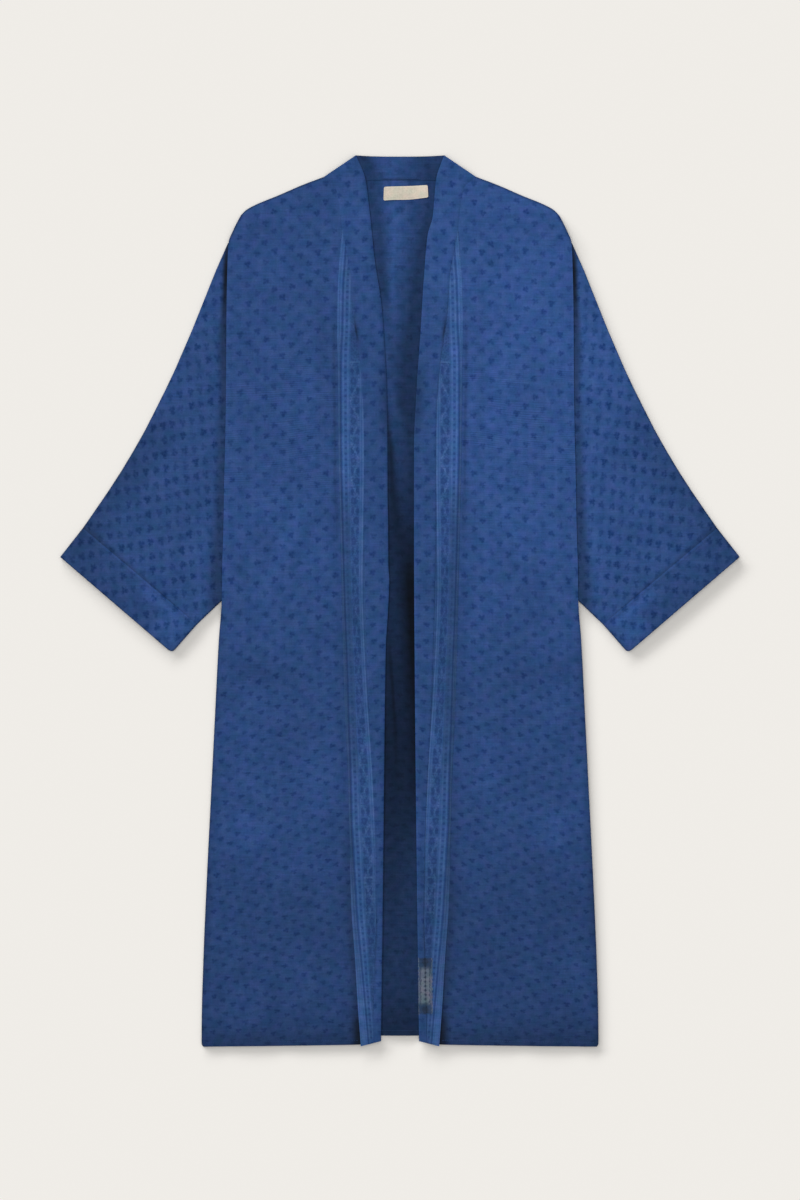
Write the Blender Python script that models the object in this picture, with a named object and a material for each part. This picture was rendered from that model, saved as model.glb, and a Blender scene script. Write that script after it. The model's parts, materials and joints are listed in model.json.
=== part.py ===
"""Kimono robe with an open front, wide sleeves and a neckband, laid flat with its back down.

Sizes are in millimetres. X runs across the robe, Y runs up to the neck and Z rises from the
surface that the robe lies on. Tables give the distance out from the middle line, so the same rows
serve both sides: the left side lies at -X and the right side at +X.
"""

import math
from typing import NamedTuple

import bmesh
import bpy
import numpy as np

MM = 0.001

# Cloth and the gaps between layers
WALL = 1.0
SEAM_GAP = 0.3
CUFF_WALL = 1.3
BAND_THICKNESS = 1.8
BACK_BAND_THICKNESS = 2.3

# Heights of the layers, each a seam gap above the one below
FRONT_Z = WALL + SEAM_GAP
ON_FRONT_Z = FRONT_Z + WALL + SEAM_GAP
SLEEVE_TOP = FRONT_Z + WALL
CUFF_TOP = SLEEVE_TOP + 0.6
SLEEVE_LOFT = 2.2

# How the front rides over the sleeve at the armhole
ARMHOLE_RISE_FROM = 0.78
ARMHOLE_RISE_TO = 0.90
ARMHOLE_TOP = 500.0
ARMHOLE_FOOT = -6.0
ARMHOLE_BLEND = 24.0

# Fading of the folds towards the strip beside the band and towards the armhole
FOLD_FADE = 30.0
CREASE_ANGLE = math.radians(40)


class Edge(NamedTuple):
    """Distance out from the middle line at a height along the robe."""

    y: float
    x: float


class Fold(NamedTuple):
    """A soft ridge along a straight line on a panel."""

    start_x: float
    start_y: float
    end_x: float
    end_y: float
    half_width: float
    height: float


class Outfit(NamedTuple):
    """Colour and surface of one kind of piece."""

    colour: tuple
    roughness: float


CLOTH = Outfit((0.026, 0.066, 0.205), 0.55)
CLOTH_INSIDE = Outfit((0.012, 0.026, 0.075), 0.6)
BAND_CLOTH = Outfit((0.024, 0.063, 0.200), 0.55)
BORDER_CLOTH = Outfit((0.034, 0.083, 0.225), 0.55)
LABEL_CLOTH = Outfit((0.62, 0.52, 0.38), 0.7)

SHOULDER = (
    Edge(y=572.4, x=102.8),
    Edge(y=561.2, x=132.3),
    Edge(y=547.7, x=163.4),
    Edge(y=534.3, x=195.8),
    Edge(y=527.9, x=207.2),
    Edge(y=520.8, x=214.7),
)

BODY_EDGE = (
    Edge(y=520.8, x=214.7),
    Edge(y=507.6, x=221.6),
    Edge(y=495.6, x=227.2),
    Edge(y=486.5, x=231.0),
    Edge(y=475.0, x=232.0),
    Edge(y=457.7, x=232.7),
    Edge(y=394.2, x=234.4),
    Edge(y=204.0, x=236.4),
    Edge(y=75.6, x=237.9),
    Edge(y=1.4, x=240.6),
    Edge(y=-52.7, x=244.5),
    Edge(y=-160.7, x=250.0),
    Edge(y=-268.7, x=255.4),
    Edge(y=-376.7, x=260.8),
    Edge(y=-484.7, x=265.4),
    Edge(y=-565.7, x=267.6),
    Edge(y=-597.0, x=267.8),
    Edge(y=-601.5, x=265.6),
)

# The front runs on under the band, so its own inner edge is hidden
FRONT_INNER = (
    Edge(y=568.5, x=98.0),
    Edge(y=552.0, x=78.0),
    Edge(y=502.0, x=66.0),
    Edge(y=406.0, x=54.0),
    Edge(y=359.0, x=48.0),
    Edge(y=321.0, x=43.5),
    Edge(y=271.0, x=39.5),
    Edge(y=217.0, x=38.0),
    Edge(y=1.0, x=36.5),
    Edge(y=-134.0, x=34.0),
    Edge(y=-269.0, x=30.5),
    Edge(y=-377.0, x=29.2),
    Edge(y=-485.0, x=30.0),
    Edge(y=-595.6, x=32.0),
)

HEM = (
    Edge(y=-595.6, x=32.0),
    Edge(y=-598.6, x=54.0),
    Edge(y=-599.2, x=81.0),
    Edge(y=-600.4, x=162.0),
    Edge(y=-601.5, x=265.6),
)

BAND_SEAM = (
    Edge(y=572.4, x=102.6),
    Edge(y=557.6, x=86.4),
    Edge(y=502.2, x=78.3),
    Edge(y=406.4, x=67.5),
    Edge(y=359.1, x=59.4),
    Edge(y=321.3, x=54.0),
    Edge(y=271.4, x=50.0),
    Edge(y=217.4, x=48.6),
    Edge(y=95.9, x=48.2),
    Edge(y=1.4, x=46.6),
    Edge(y=-133.7, x=42.5),
    Edge(y=-268.7, x=35.8),
    Edge(y=-376.7, x=32.7),
    Edge(y=-430.7, x=32.4),
    Edge(y=-484.7, x=33.8),
    Edge(y=-538.7, x=35.1),
    Edge(y=-596.6, x=36.5),
)

# The opening edge differs a little from side to side in the roll below the neck
OPENING_LEFT = (
    Edge(y=601.5, x=59.4),
    Edge(y=571.1, x=47.2),
    Edge(y=527.9, x=41.2),
    Edge(y=459.0, x=33.8),
    Edge(y=398.2, x=24.8),
    Edge(y=364.5, x=22.3),
    Edge(y=274.1, x=17.6),
    Edge(y=209.2, x=16.9),
    Edge(y=95.9, x=16.9),
    Edge(y=-133.7, x=20.2),
    Edge(y=-403.7, x=23.0),
    Edge(y=-594.0, x=25.6),
)

OPENING_RIGHT = (
    Edge(y=601.5, x=59.4),
    Edge(y=568.4, x=48.6),
    Edge(y=519.1, x=44.1),
    Edge(y=492.8, x=37.1),
    Edge(y=433.4, x=32.0),
    Edge(y=364.5, x=27.7),
    Edge(y=274.1, x=21.6),
    Edge(y=209.2, x=18.9),
    Edge(y=95.9, x=18.9),
    Edge(y=-133.7, x=20.2),
    Edge(y=-403.7, x=23.0),
    Edge(y=-594.0, x=25.6),
)

STRIP_EDGE = (
    Edge(y=502.2, x=78.3),
    Edge(y=457.7, x=81.7),
    Edge(y=398.2, x=83.7),
    Edge(y=298.4, x=83.7),
    Edge(y=203.9, x=83.0),
    Edge(y=95.9, x=80.6),
    Edge(y=1.4, x=78.6),
    Edge(y=-133.7, x=74.9),
    Edge(y=-255.2, x=69.8),
    Edge(y=-403.7, x=66.2),
    Edge(y=-480.6, x=61.0),
    Edge(y=-542.7, x=57.2),
    Edge(y=-600.8, x=52.9),
)

# The sleeve's upper fold from the armhole to the cuff seam
SLEEVE_FOLD = (
    Edge(y=483.0, x=232.2),
    Edge(y=464.5, x=240.3),
    Edge(y=446.2, x=248.4),
    Edge(y=419.2, x=259.2),
    Edge(y=392.2, x=270.0),
    Edge(y=365.2, x=280.8),
    Edge(y=338.9, x=292.1),
    Edge(y=311.9, x=303.8),
    Edge(y=284.9, x=316.6),
    Edge(y=257.9, x=330.1),
    Edge(y=230.2, x=344.2),
    Edge(y=202.5, x=359.8),
    Edge(y=175.5, x=376.0),
    Edge(y=148.5, x=393.5),
    Edge(y=121.5, x=412.0),
    Edge(y=97.9, x=428.4),
)

# Corner points, each as distance out and height
TUCK_TOP = (222.0, 489.0)
TUCK_FOOT = (230.2, 11.5)
UNDERARM = (240.4, 0.5)
CUFF_SEAM_FOOT = (274.5, -32.1)
CUFF_TIP = (458.6, 59.4)
CUFF_FOOT = (307.8, -70.2)
NECK_CORNER = (59.4, 601.5)
NECK_DIP = 599.8
SHOULDER_CORNER = (102.0, 572.8)
BACK_NECK_Y = 569.7
BACK_HEM_MIDDLE = -586.6
BACK_HEM_FLAT = 40.0
LABEL_CORNERS = ((-21.6, 558.9), (37.3, 561.2), (38.1, 544.1), (-22.3, 540.0))

# The back's armhole, a seam gap clear of the sleeve that is tucked in beside it
BACK_ARMHOLE = [(231.3, 484.4), (222.3, 489.8), (221.2, 489.2), (229.5, 14.5), (229.8, 11.2), (240.2, -0.2)]

FRONT_COLUMNS = (0.0, 0.1, 0.2, 0.3, 0.4, 0.5, 0.6, 0.7, ARMHOLE_RISE_FROM, 0.84, ARMHOLE_RISE_TO, 0.95, 1.0)
FRONT_ROWS = (
    520.8, 507.6, 495.6, 486.5, 475.0, 457.7, 425.0, 390.0, 345.0, 300.0, 255.0, 210.0, 165.0, 120.0, 80.0, 40.0, 12.0,
    -8.0, -32.0, -60.0, -100.0, -145.0, -190.0, -235.0, -280.0, -325.0, -370.0, -415.0, -460.0, -505.0, -545.0,
    -575.0, -597.0, -601.5,
)
SLEEVE_RINGS = 11
SLEEVE_COLUMNS = 9
CUFF_RINGS = (0.0, 0.3, 0.6, 0.85, 0.95, 1.0)
CUFF_CORNER = 5.0
BAND_STATIONS = 34
STRIP_STATIONS = 30

FRONT_FOLDS = (
    Fold(start_x=112, start_y=140, end_x=178, end_y=18, half_width=30, height=1.9),
    Fold(start_x=112, start_y=360, end_x=106, end_y=210, half_width=28, height=1.4),
    Fold(start_x=112, start_y=-158, end_x=225, end_y=-176, half_width=40, height=1.8),
    Fold(start_x=140, start_y=-285, end_x=215, end_y=-345, half_width=38, height=1.7),
    Fold(start_x=198, start_y=-585, end_x=186, end_y=-440, half_width=32, height=1.5),
)


class BandPoint(NamedTuple):
    """One point across the folded band, from its seam to the opening edge."""

    share: float
    under: float
    over: float


# Over the front near the seam, down on the back at the opening edge
BAND_PROFILE = (
    BandPoint(share=0.0, under=ON_FRONT_Z, over=ON_FRONT_Z + BAND_THICKNESS - 0.3),
    BandPoint(share=0.2, under=ON_FRONT_Z, over=ON_FRONT_Z + BAND_THICKNESS),
    BandPoint(share=0.45, under=ON_FRONT_Z, over=ON_FRONT_Z + BAND_THICKNESS - 0.1),
    BandPoint(share=0.7, under=FRONT_Z, over=FRONT_Z + BAND_THICKNESS + 0.3),
    BandPoint(share=0.9, under=FRONT_Z, over=FRONT_Z + BAND_THICKNESS),
    BandPoint(share=1.0, under=FRONT_Z + 0.3, over=FRONT_Z + BAND_THICKNESS - 0.6),
)
BAND_DROP_START = 560.0
BAND_DROP_END = 500.0


def read(rows, key, value, at):
    """Value of a table at a key, on a smooth curve through its rows without overshoot."""
    pairs = sorted((getattr(row, key), getattr(row, value)) for row in rows)
    keys = np.array([pair[0] for pair in pairs])
    values = np.array([pair[1] for pair in pairs])
    at = min(max(at, keys[0]), keys[-1])
    steps = np.diff(keys)
    slopes = np.diff(values) / steps
    tangents = np.empty(len(keys))
    tangents[0] = slopes[0]
    tangents[-1] = slopes[-1]
    for i in range(1, len(keys) - 1):
        before, after = slopes[i - 1], slopes[i]
        tangents[i] = 2 * before * after / (before + after) if before * after > 0 else 0.0
    i = min(int(np.searchsorted(keys, at, side="right")) - 1, len(keys) - 2)
    t = (at - keys[i]) / steps[i]
    start = (1 + 2 * t) * (1 - t) ** 2 * values[i] + t * (1 - t) ** 2 * steps[i] * tangents[i]
    end = t * t * (3 - 2 * t) * values[i + 1] + t * t * (t - 1) * steps[i] * tangents[i + 1]
    return float(start + end)


def ease(low, high, at):
    """Smooth rise from 0 at low to 1 at high. With low above high it falls."""
    t = min(max((at - low) / (high - low), 0.0), 1.0)
    return t * t * (3 - 2 * t)


def mix(a, b, share):
    """Point part of the way from a to b."""
    return tuple(p + (q - p) * share for p, q in zip(a, b))


def fold_height(x, y):
    """Height of the soft folds at a point of a front panel."""
    total = 0.0
    for fold in FRONT_FOLDS:
        dx, dy = fold.end_x - fold.start_x, fold.end_y - fold.start_y
        length = math.hypot(dx, dy)
        along = ((x - fold.start_x) * dx + (y - fold.start_y) * dy) / length
        off = ((x - fold.start_x) * dy - (y - fold.start_y) * dx) / length
        past = max(-along, along - length, 0.0)
        total = max(total, fold.height * math.exp(-(off * off + past * past) / fold.half_width**2))
    from_strip = ease(4.0, FOLD_FADE, x - read(STRIP_EDGE, "y", "x", y))
    from_edge = ease(4.0, FOLD_FADE, read(BODY_EDGE, "y", "x", y) - x)
    return total * from_strip * (from_edge if y > ARMHOLE_FOOT - ARMHOLE_BLEND else 1.0)


def add_material(obj, outfit):
    """Gives the object a material of its own."""
    material = bpy.data.materials.new(obj.name)
    material.use_nodes = True
    shader = material.node_tree.nodes["Principled BSDF"]
    shader.inputs["Base Color"].default_value = (*outfit.colour, 1.0)
    shader.inputs["Roughness"].default_value = outfit.roughness
    shader.inputs["Metallic"].default_value = 0.0
    obj.data.materials.append(material)


def add_object(name, points, faces, outfit):
    """Makes a closed mesh object from points in millimetres, with its faces turned out."""
    mesh = bpy.data.meshes.new(name)
    mesh.from_pydata([[c * MM for c in point] for point in points], [], faces)
    work = bmesh.new()
    work.from_mesh(mesh)
    bmesh.ops.recalc_face_normals(work, faces=work.faces)
    if work.calc_volume(signed=True) < 0:
        bmesh.ops.reverse_faces(work, faces=work.faces)
    work.to_mesh(mesh)
    work.free()
    mesh.shade_smooth()
    mesh.set_sharp_from_angle(angle=CREASE_ANGLE)
    obj = bpy.data.objects.new(name, mesh)
    bpy.context.scene.collection.objects.link(obj)
    add_material(obj, outfit)
    return obj


def wall(name, over, under, outfit):
    """A sheet between two grids of points of the same rows and columns, closed round its rim."""
    rows, columns = len(over), len(over[0])
    points = [point for row in over for point in row] + [point for row in under for point in row]
    below = rows * columns
    faces = []
    for r in range(rows - 1):
        for c in range(columns - 1):
            a, b = r * columns + c, r * columns + c + 1
            d, e = a + columns, b + columns
            faces.append((a, b, e, d))
            faces.append((below + a, below + d, below + e, below + b))
    rim = [(0, c) for c in range(columns)]
    rim += [(r, columns - 1) for r in range(1, rows)]
    rim += [(rows - 1, c) for c in range(columns - 2, -1, -1)]
    rim += [(r, 0) for r in range(rows - 2, 0, -1)]
    for (r0, c0), (r1, c1) in zip(rim, rim[1:] + rim[:1]):
        a, b = r0 * columns + c0, r1 * columns + c1
        faces.append((b, a, below + a, below + b))
    return add_object(name, points, faces, outfit)


def tube(name, outer, inner, outfit):
    """A wall round an open tube, from rings of points on its outside and its inside."""
    count = len(outer[0])
    points = [point for ring in outer for point in ring] + [point for ring in inner for point in ring]
    inside = len(outer) * count
    faces = []
    for r in range(len(outer) - 1):
        for c in range(count):
            a, b = r * count + c, r * count + (c + 1) % count
            d, e = a + count, b + count
            faces.append((a, b, e, d))
            faces.append((inside + a, inside + d, inside + e, inside + b))
    for r in (0, len(outer) - 1):
        for c in range(count):
            a, b = r * count + c, r * count + (c + 1) % count
            faces.append((a, b, inside + b, inside + a))
    return add_object(name, points, faces, outfit)


def plate(name, outline, low, high, outfit):
    """A flat piece with a given outline, from one height to another."""
    count = len(outline)
    points = [(x, y, low) for x, y in outline] + [(x, y, high) for x, y in outline]
    faces = [tuple(range(count)), tuple(range(2 * count - 1, count - 1, -1))]
    faces += [(i, (i + 1) % count, count + (i + 1) % count, count + i) for i in range(count)]
    return add_object(name, points, faces, outfit)


def armhole_rise(u, y):
    """Lift of the front where the sleeve is tucked under its edge."""
    across = ease(ARMHOLE_RISE_FROM, ARMHOLE_RISE_TO, u)
    top = ease(ARMHOLE_TOP + ARMHOLE_BLEND, ARMHOLE_TOP, y)
    foot = ease(ARMHOLE_FOOT - ARMHOLE_BLEND, ARMHOLE_FOOT, y)
    return (ON_FRONT_Z - FRONT_Z) * across * top * foot


def front_point(u, row_y):
    """Place on a front panel: u from the hidden inner edge to the outer edge, at a row of that edge."""
    first, last = FRONT_ROWS[0], FRONT_ROWS[-1]
    v = (first - row_y) / (first - last)
    top_x = FRONT_INNER[0].x + (SHOULDER[-1].x - FRONT_INNER[0].x) * u
    blend_in = ease(0.0, 0.06, u)
    top_y = FRONT_INNER[0].y * (1 - blend_in) + read(SHOULDER, "x", "y", top_x) * blend_in
    foot_x = HEM[0].x + (HEM[-1].x - HEM[0].x) * u
    foot_y = read(HEM, "x", "y", foot_x)
    inner_y = FRONT_INNER[0].y + (FRONT_INNER[-1].y - FRONT_INNER[0].y) * v
    inner_x = read(FRONT_INNER, "y", "x", inner_y)
    outer_x = read(BODY_EDGE, "y", "x", row_y)
    corners_x = (
        (1 - u) * (1 - v) * FRONT_INNER[0].x + u * (1 - v) * SHOULDER[-1].x
        + (1 - u) * v * HEM[0].x + u * v * HEM[-1].x
    )
    corners_y = (
        (1 - u) * (1 - v) * FRONT_INNER[0].y + u * (1 - v) * SHOULDER[-1].y
        + (1 - u) * v * HEM[0].y + u * v * HEM[-1].y
    )
    x = (1 - v) * top_x + v * foot_x + (1 - u) * inner_x + u * outer_x - corners_x
    y = (1 - v) * top_y + v * foot_y + (1 - u) * inner_y + u * row_y - corners_y
    return x, y


def build_front(side, name):
    """One front panel, from the shoulder seam to the hem."""
    over, under = [], []
    for row_y in FRONT_ROWS:
        upper, lower = [], []
        for u in FRONT_COLUMNS:
            x, y = front_point(u, row_y)
            z = FRONT_Z + armhole_rise(u, y) + fold_height(x, y)
            lower.append((side * x, y, z))
            upper.append((side * x, y, z + WALL))
        over.append(upper)
        under.append(lower)
    return wall(name, over, under, CLOTH)


def build_back():
    """The back panel, flat on the surface, drawn in at the armholes where the sleeves meet it."""
    half = [(100.8, BACK_NECK_Y), (103.3, 571.7)]
    half += [(edge.x, edge.y) for edge in SHOULDER[1:]]
    half += [(edge.x, edge.y) for edge in BODY_EDGE[1:4]]
    half += BACK_ARMHOLE
    half += [(edge.x, edge.y) for edge in BODY_EDGE if edge.y < ARMHOLE_FOOT]
    hem_steps = 6
    corner_x = BODY_EDGE[-1].x
    for i in range(1, hem_steps + 1):
        share = i / hem_steps
        drop = ease(0.0, 1.0, 1 - share)
        x = corner_x + (BACK_HEM_FLAT - corner_x) * share
        half.append((x, BACK_HEM_MIDDLE + (BODY_EDGE[-1].y - BACK_HEM_MIDDLE) * drop))
    outline = half + [(-x, y) for x, y in reversed(half)]
    return plate("back_panel", outline, 0.0, WALL, CLOTH_INSIDE)


def section(start, end, top, wall_thickness, loft):
    """Outer and inner ring of a flattened tube between two points of its outline."""
    length = math.dist(start, end)
    turn = 2.0
    hollow = wall_thickness + 1.2
    mid = WALL + SEAM_GAP / 2

    def ring(inset, lip, low, rise):
        shares = [(i + 0.5) / SLEEVE_COLUMNS for i in range(SLEEVE_COLUMNS)]
        spots = [lip] + [lip + (length - 2 * lip) * s for s in shares] + [length - lip]
        across = [(d, low + rise + loft * math.sin(math.pi * d / length) ** 0.8) for d in spots]
        across[0] = (lip, low + rise)
        across[-1] = (length - lip, low + rise)
        loop = [(inset, mid)] + across + [(length - inset, mid)] + [(d, low) for d in reversed(spots)]
        return [(*mix(start, end, d / length), z) for d, z in loop]

    outer = ring(0.0, turn, 0.0, top)
    inner = ring(hollow, hollow + 1.6, wall_thickness, top - 2 * wall_thickness)
    return outer, inner


def sleeve_line(share):
    """Ends of a line across the sleeve, from the armhole (0) to the cuff seam (1)."""
    lengths = [0.0]
    for a, b in zip(SLEEVE_FOLD, SLEEVE_FOLD[1:]):
        lengths.append(lengths[-1] + math.dist(a, b))
    at = share * lengths[-1]
    i = min(int(np.searchsorted(lengths, at, side="right")) - 1, len(lengths) - 2)
    part = (at - lengths[i]) / (lengths[i + 1] - lengths[i])
    a, b = SLEEVE_FOLD[i], SLEEVE_FOLD[i + 1]
    return mix((a.x, a.y), (b.x, b.y), part), mix(UNDERARM, CUFF_SEAM_FOOT, share)


def mirrored(rings, side):
    """The rings on the left or the right side of the robe."""
    return [[(side * x, y, z) for x, y, z in ring] for ring in rings]


def build_sleeve(side, name):
    """One sleeve: a flattened tapering tube, open at the armhole and at the cuff seam."""
    outer, inner = [], []
    lines = [(TUCK_TOP, TUCK_FOOT, 0.0)]
    for i in range(SLEEVE_RINGS + 1):
        share = i / SLEEVE_RINGS
        lines.append((*sleeve_line(share), SLEEVE_LOFT * ease(0.0, 0.4, share)))
    for top_end, foot_end, loft in lines:
        ring, hollow = section(top_end, foot_end, SLEEVE_TOP, WALL, loft)
        outer.append(ring)
        inner.append(hollow)
    return tube(name, mirrored(outer, side), mirrored(inner, side), CLOTH)


def build_cuff(side, name):
    """One cuff: a flattened tube that carries the sleeve on to its opening."""
    seam_top, seam_foot = sleeve_line(1.0)
    gap = SEAM_GAP / math.dist(seam_top, CUFF_TIP)
    outer, inner = [], []
    for share in CUFF_RINGS:
        at = gap + (1 - gap) * share
        top_end = mix(seam_top, CUFF_TIP, at)
        foot_end = mix(seam_foot, CUFF_FOOT, at)
        corner = CUFF_CORNER * ease(0.85, 1.0, share)
        foot_end = mix(foot_end, top_end, corner / math.dist(foot_end, top_end))
        ring, hollow = section(top_end, foot_end, CUFF_TOP, CUFF_WALL, SLEEVE_LOFT * (1 - 0.5 * share))
        outer.append(ring)
        inner.append(hollow)
    return tube(name, mirrored(outer, side), mirrored(inner, side), CLOTH)


def build_band(side, name, opening):
    """One front stretch of the neckband, from the fold at the neck to the hem."""
    over, under = [], []
    for i in range(BAND_STATIONS + 1):
        share = i / BAND_STATIONS
        seam_y = BAND_SEAM[0].y + (BAND_SEAM[-1].y - BAND_SEAM[0].y) * share
        edge_y = opening[0].y + (opening[-1].y - opening[0].y) * share
        seam = (read(BAND_SEAM, "y", "x", seam_y), seam_y)
        edge = (read(opening, "y", "x", edge_y), edge_y)
        upper, lower = [], []
        for row in BAND_PROFILE:
            x, y = mix(seam, edge, row.share)
            drop = ease(BAND_DROP_START, BAND_DROP_END, y)
            lift = (1 - drop) * (ON_FRONT_Z - min(row.under, ON_FRONT_Z))
            lower.append((side * x, y, row.under + lift))
            upper.append((side * x, y, row.over + lift))
        over.append(upper)
        under.append(lower)
    return wall(name, over, under, BAND_CLOTH)


def build_back_band():
    """The stretch of the neckband behind the neck, folded and flat."""
    half = [(NECK_CORNER[0] / 2, NECK_CORNER[1] - 0.6), NECK_CORNER, SHOULDER_CORNER, (100.5, BACK_NECK_Y + 0.5)]
    outline = [(0.0, NECK_DIP)] + half + [(-x, y) for x, y in reversed(half)]
    return plate("band_back_neck", outline, 0.0, BACK_BAND_THICKNESS, BAND_CLOTH)


def build_strip(side, name):
    """One border strip, lying on the front panel between its outer edge and the band's seam."""
    first_y, last_outer, last_inner = 478.0, STRIP_EDGE[-1].y, BAND_SEAM[-1].y
    over, under = [], []
    for i in range(STRIP_STATIONS + 1):
        share = i / STRIP_STATIONS
        outer_y = first_y + (last_outer - first_y) * share
        inner_y = first_y + (last_inner - first_y) * share
        outer = (read(STRIP_EDGE, "y", "x", outer_y), outer_y)
        inner = (read(BAND_SEAM, "y", "x", inner_y) + 2 * SEAM_GAP, inner_y)
        row = [mix(outer, inner, at) for at in (0.0, 0.5, 1.0)]
        under.append([(side * x, y, ON_FRONT_Z) for x, y in row])
        over.append([(side * x, y, ON_FRONT_Z + WALL) for x, y in row])
    return wall(name, over, under, BORDER_CLOTH)


def build_label():
    """The neck label, bare, on the inside of the back."""
    return plate("neck_label", list(reversed(LABEL_CORNERS)), FRONT_Z, FRONT_Z + WALL, LABEL_CLOTH)


def main():
    """Builds the whole robe."""
    for obj in list(bpy.data.objects):
        bpy.data.objects.remove(obj)
    build_back()
    build_back_band()
    build_label()
    for side, word, opening in ((-1, "left", OPENING_LEFT), (1, "right", OPENING_RIGHT)):
        build_front(side, f"front_{word}")
        build_sleeve(side, f"sleeve_{word}")
        build_cuff(side, f"cuff_{word}")
        build_band(side, f"band_{word}", opening)
        build_strip(side, f"border_{word}")


if __name__ == "__main__":
    main()
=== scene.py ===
"""Kimono robe laid flat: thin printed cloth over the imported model, with its print, weave and stitching.

Lengths are in millimetres up to the moment a mesh is made. Tables give the distance out from the
middle line of the robe, so the same rows serve the left side (-X) and the right side (+X).
"""

from __future__ import annotations

import json
import logging
import math
from dataclasses import dataclass
from enum import Enum
from functools import reduce
from typing import ClassVar, NamedTuple

import bpy
import numpy as np
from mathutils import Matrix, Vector

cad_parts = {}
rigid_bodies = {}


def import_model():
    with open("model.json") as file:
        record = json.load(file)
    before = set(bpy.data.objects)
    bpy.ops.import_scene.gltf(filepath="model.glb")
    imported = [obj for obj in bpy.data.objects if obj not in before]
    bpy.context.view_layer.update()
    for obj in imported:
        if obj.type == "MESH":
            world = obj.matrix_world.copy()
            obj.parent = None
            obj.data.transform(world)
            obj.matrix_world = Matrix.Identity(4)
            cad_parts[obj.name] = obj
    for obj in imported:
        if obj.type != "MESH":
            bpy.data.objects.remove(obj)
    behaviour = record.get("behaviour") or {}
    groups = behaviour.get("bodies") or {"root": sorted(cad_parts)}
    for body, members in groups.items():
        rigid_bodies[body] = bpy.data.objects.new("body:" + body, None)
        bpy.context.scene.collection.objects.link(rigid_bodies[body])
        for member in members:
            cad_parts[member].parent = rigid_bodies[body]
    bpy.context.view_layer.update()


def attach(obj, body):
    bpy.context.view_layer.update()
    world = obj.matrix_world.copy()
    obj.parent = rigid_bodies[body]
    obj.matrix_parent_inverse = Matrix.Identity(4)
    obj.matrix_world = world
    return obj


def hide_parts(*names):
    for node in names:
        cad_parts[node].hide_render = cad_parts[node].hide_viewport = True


MM = 0.001
LOG = logging.getLogger("kimono_robe")


class Side(Enum):
    """A side of the laid robe, as the sign of X."""

    LEFT = -1
    RIGHT = 1

    @property
    def word(self) -> str:
        """The side's name in piece names."""
        return self.name.lower()

    @property
    def dimmed(self) -> float:
        """Share of the light on the band and strip, whose right stretch lies in the deeper cloth's shade."""
        return 0.965 if self is Side.RIGHT else 1.0


class Ground(Enum):
    """What is printed on a cloth."""

    SPRIG = "sprig"
    BORDER = "border"
    BARE = "bare"


class Edge(NamedTuple):
    """Distance out from the middle line at a height along the robe."""

    y: float
    x: float


class Tone(NamedTuple):
    """Share of the full colour at a height along the robe."""

    y: float
    share: float


class Corner(NamedTuple):
    """A corner point of a piece."""

    x: float
    y: float


class Fall(NamedTuple):
    """How deep the shade beside an edge is at a height, and how far it reaches."""

    y: float
    depth: float
    reach: float


class Slope(NamedTuple):
    """Where a shade across the opening starts and ends at a height, and how deep it gets."""

    y: float
    start: float
    end: float
    depth: float


class Furrow(NamedTuple):
    """A point on the painted shadow line of a fold."""

    y: float
    x: float
    half: float
    depth: float


class Shadow(NamedTuple):
    """A soft dark line beside an edge: how deep, how wide and how far in, and where it eases in."""

    depth: float
    reach: float
    inset: float
    spans: tuple


class Lines(NamedTuple):
    """Where two lines of the border print lie at a height, in from the strip's outer edge."""

    y: float
    outer: float
    inner: float


def table(kind: type, *rows: tuple) -> tuple:
    """A table whose rows are all of one kind."""
    return tuple(kind(*row) for row in rows)


SHOULDER = table(
    Edge,
    (575.6, 94.5), (572.4, 102.8), (561.2, 132.3), (547.7, 163.4), (534.3, 195.8), (527.9, 207.2),
    (520.8, 214.7),
)

BODY_EDGE = table(
    Edge,
    (520.8, 214.7), (507.6, 221.6), (495.6, 227.2), (486.5, 231), (475, 232), (457.7, 232.7),
    (394.2, 234.1), (285, 234.8), (231, 235.6), (170, 237.1), (102, 238.3), (45, 240), (1.4, 240.6),
    (-52.7, 244.5), (-160.7, 250), (-268.7, 255.4), (-376.7, 260.8), (-484.7, 265.4), (-565.7, 267.6),
    (-597, 267.8), (-601.5, 265.6),
)

FRONT_INNER = table(
    Edge,
    (575.6, 94.5), (552, 78), (502, 66), (406, 54), (359, 48), (321, 43.5), (271, 39.5), (217, 38),
    (1, 36.5), (-134, 34), (-269, 30.5), (-377, 29.2), (-485, 30), (-595.6, 32),
)

HEM = table(
    Edge,
    (-595.6, 32), (-598.6, 54), (-599.2, 81), (-600.4, 162), (-601.5, 265.6),
)

BAND_SEAM = table(
    Edge,
    (572.4, 102.6), (557.6, 86.4), (502.2, 78), (467, 71.6), (444, 67.2), (406.4, 64.8), (372, 61.6),
    (350, 58), (321.3, 54), (271.4, 50), (217.4, 48.6), (95.9, 48.2), (1.4, 46.6), (-133.7, 42.5),
    (-268.7, 35.8), (-376.7, 32.7), (-430.7, 32.4), (-484.7, 33.8), (-538.7, 35.1), (-596.6, 36.5),
)

OPENING_LEFT = table(
    Edge,
    (601.5, 59.4), (571.1, 47.2), (527.9, 41.2), (459, 33.8), (398.2, 24.8), (364.5, 22.3), (274.1, 17.6),
    (209.2, 16.9), (149.9, 16.8), (95.9, 15.9), (48.6, 15.7), (27.5, 14.4), (8.1, 15.1), (-32.4, 17.3),
    (-55, 18.8), (-133.7, 20.2), (-403.7, 23), (-594, 25.6),
)

OPENING_RIGHT = table(
    Edge,
    (601.5, 59.4), (568.4, 48.6), (519.1, 44.1), (492.8, 37.1), (433.4, 32), (364.5, 27.7), (274.1, 21.6),
    (209.2, 18.9), (95.9, 18.9), (-133.7, 20.2), (-403.7, 23), (-594, 25.6),
)

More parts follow.
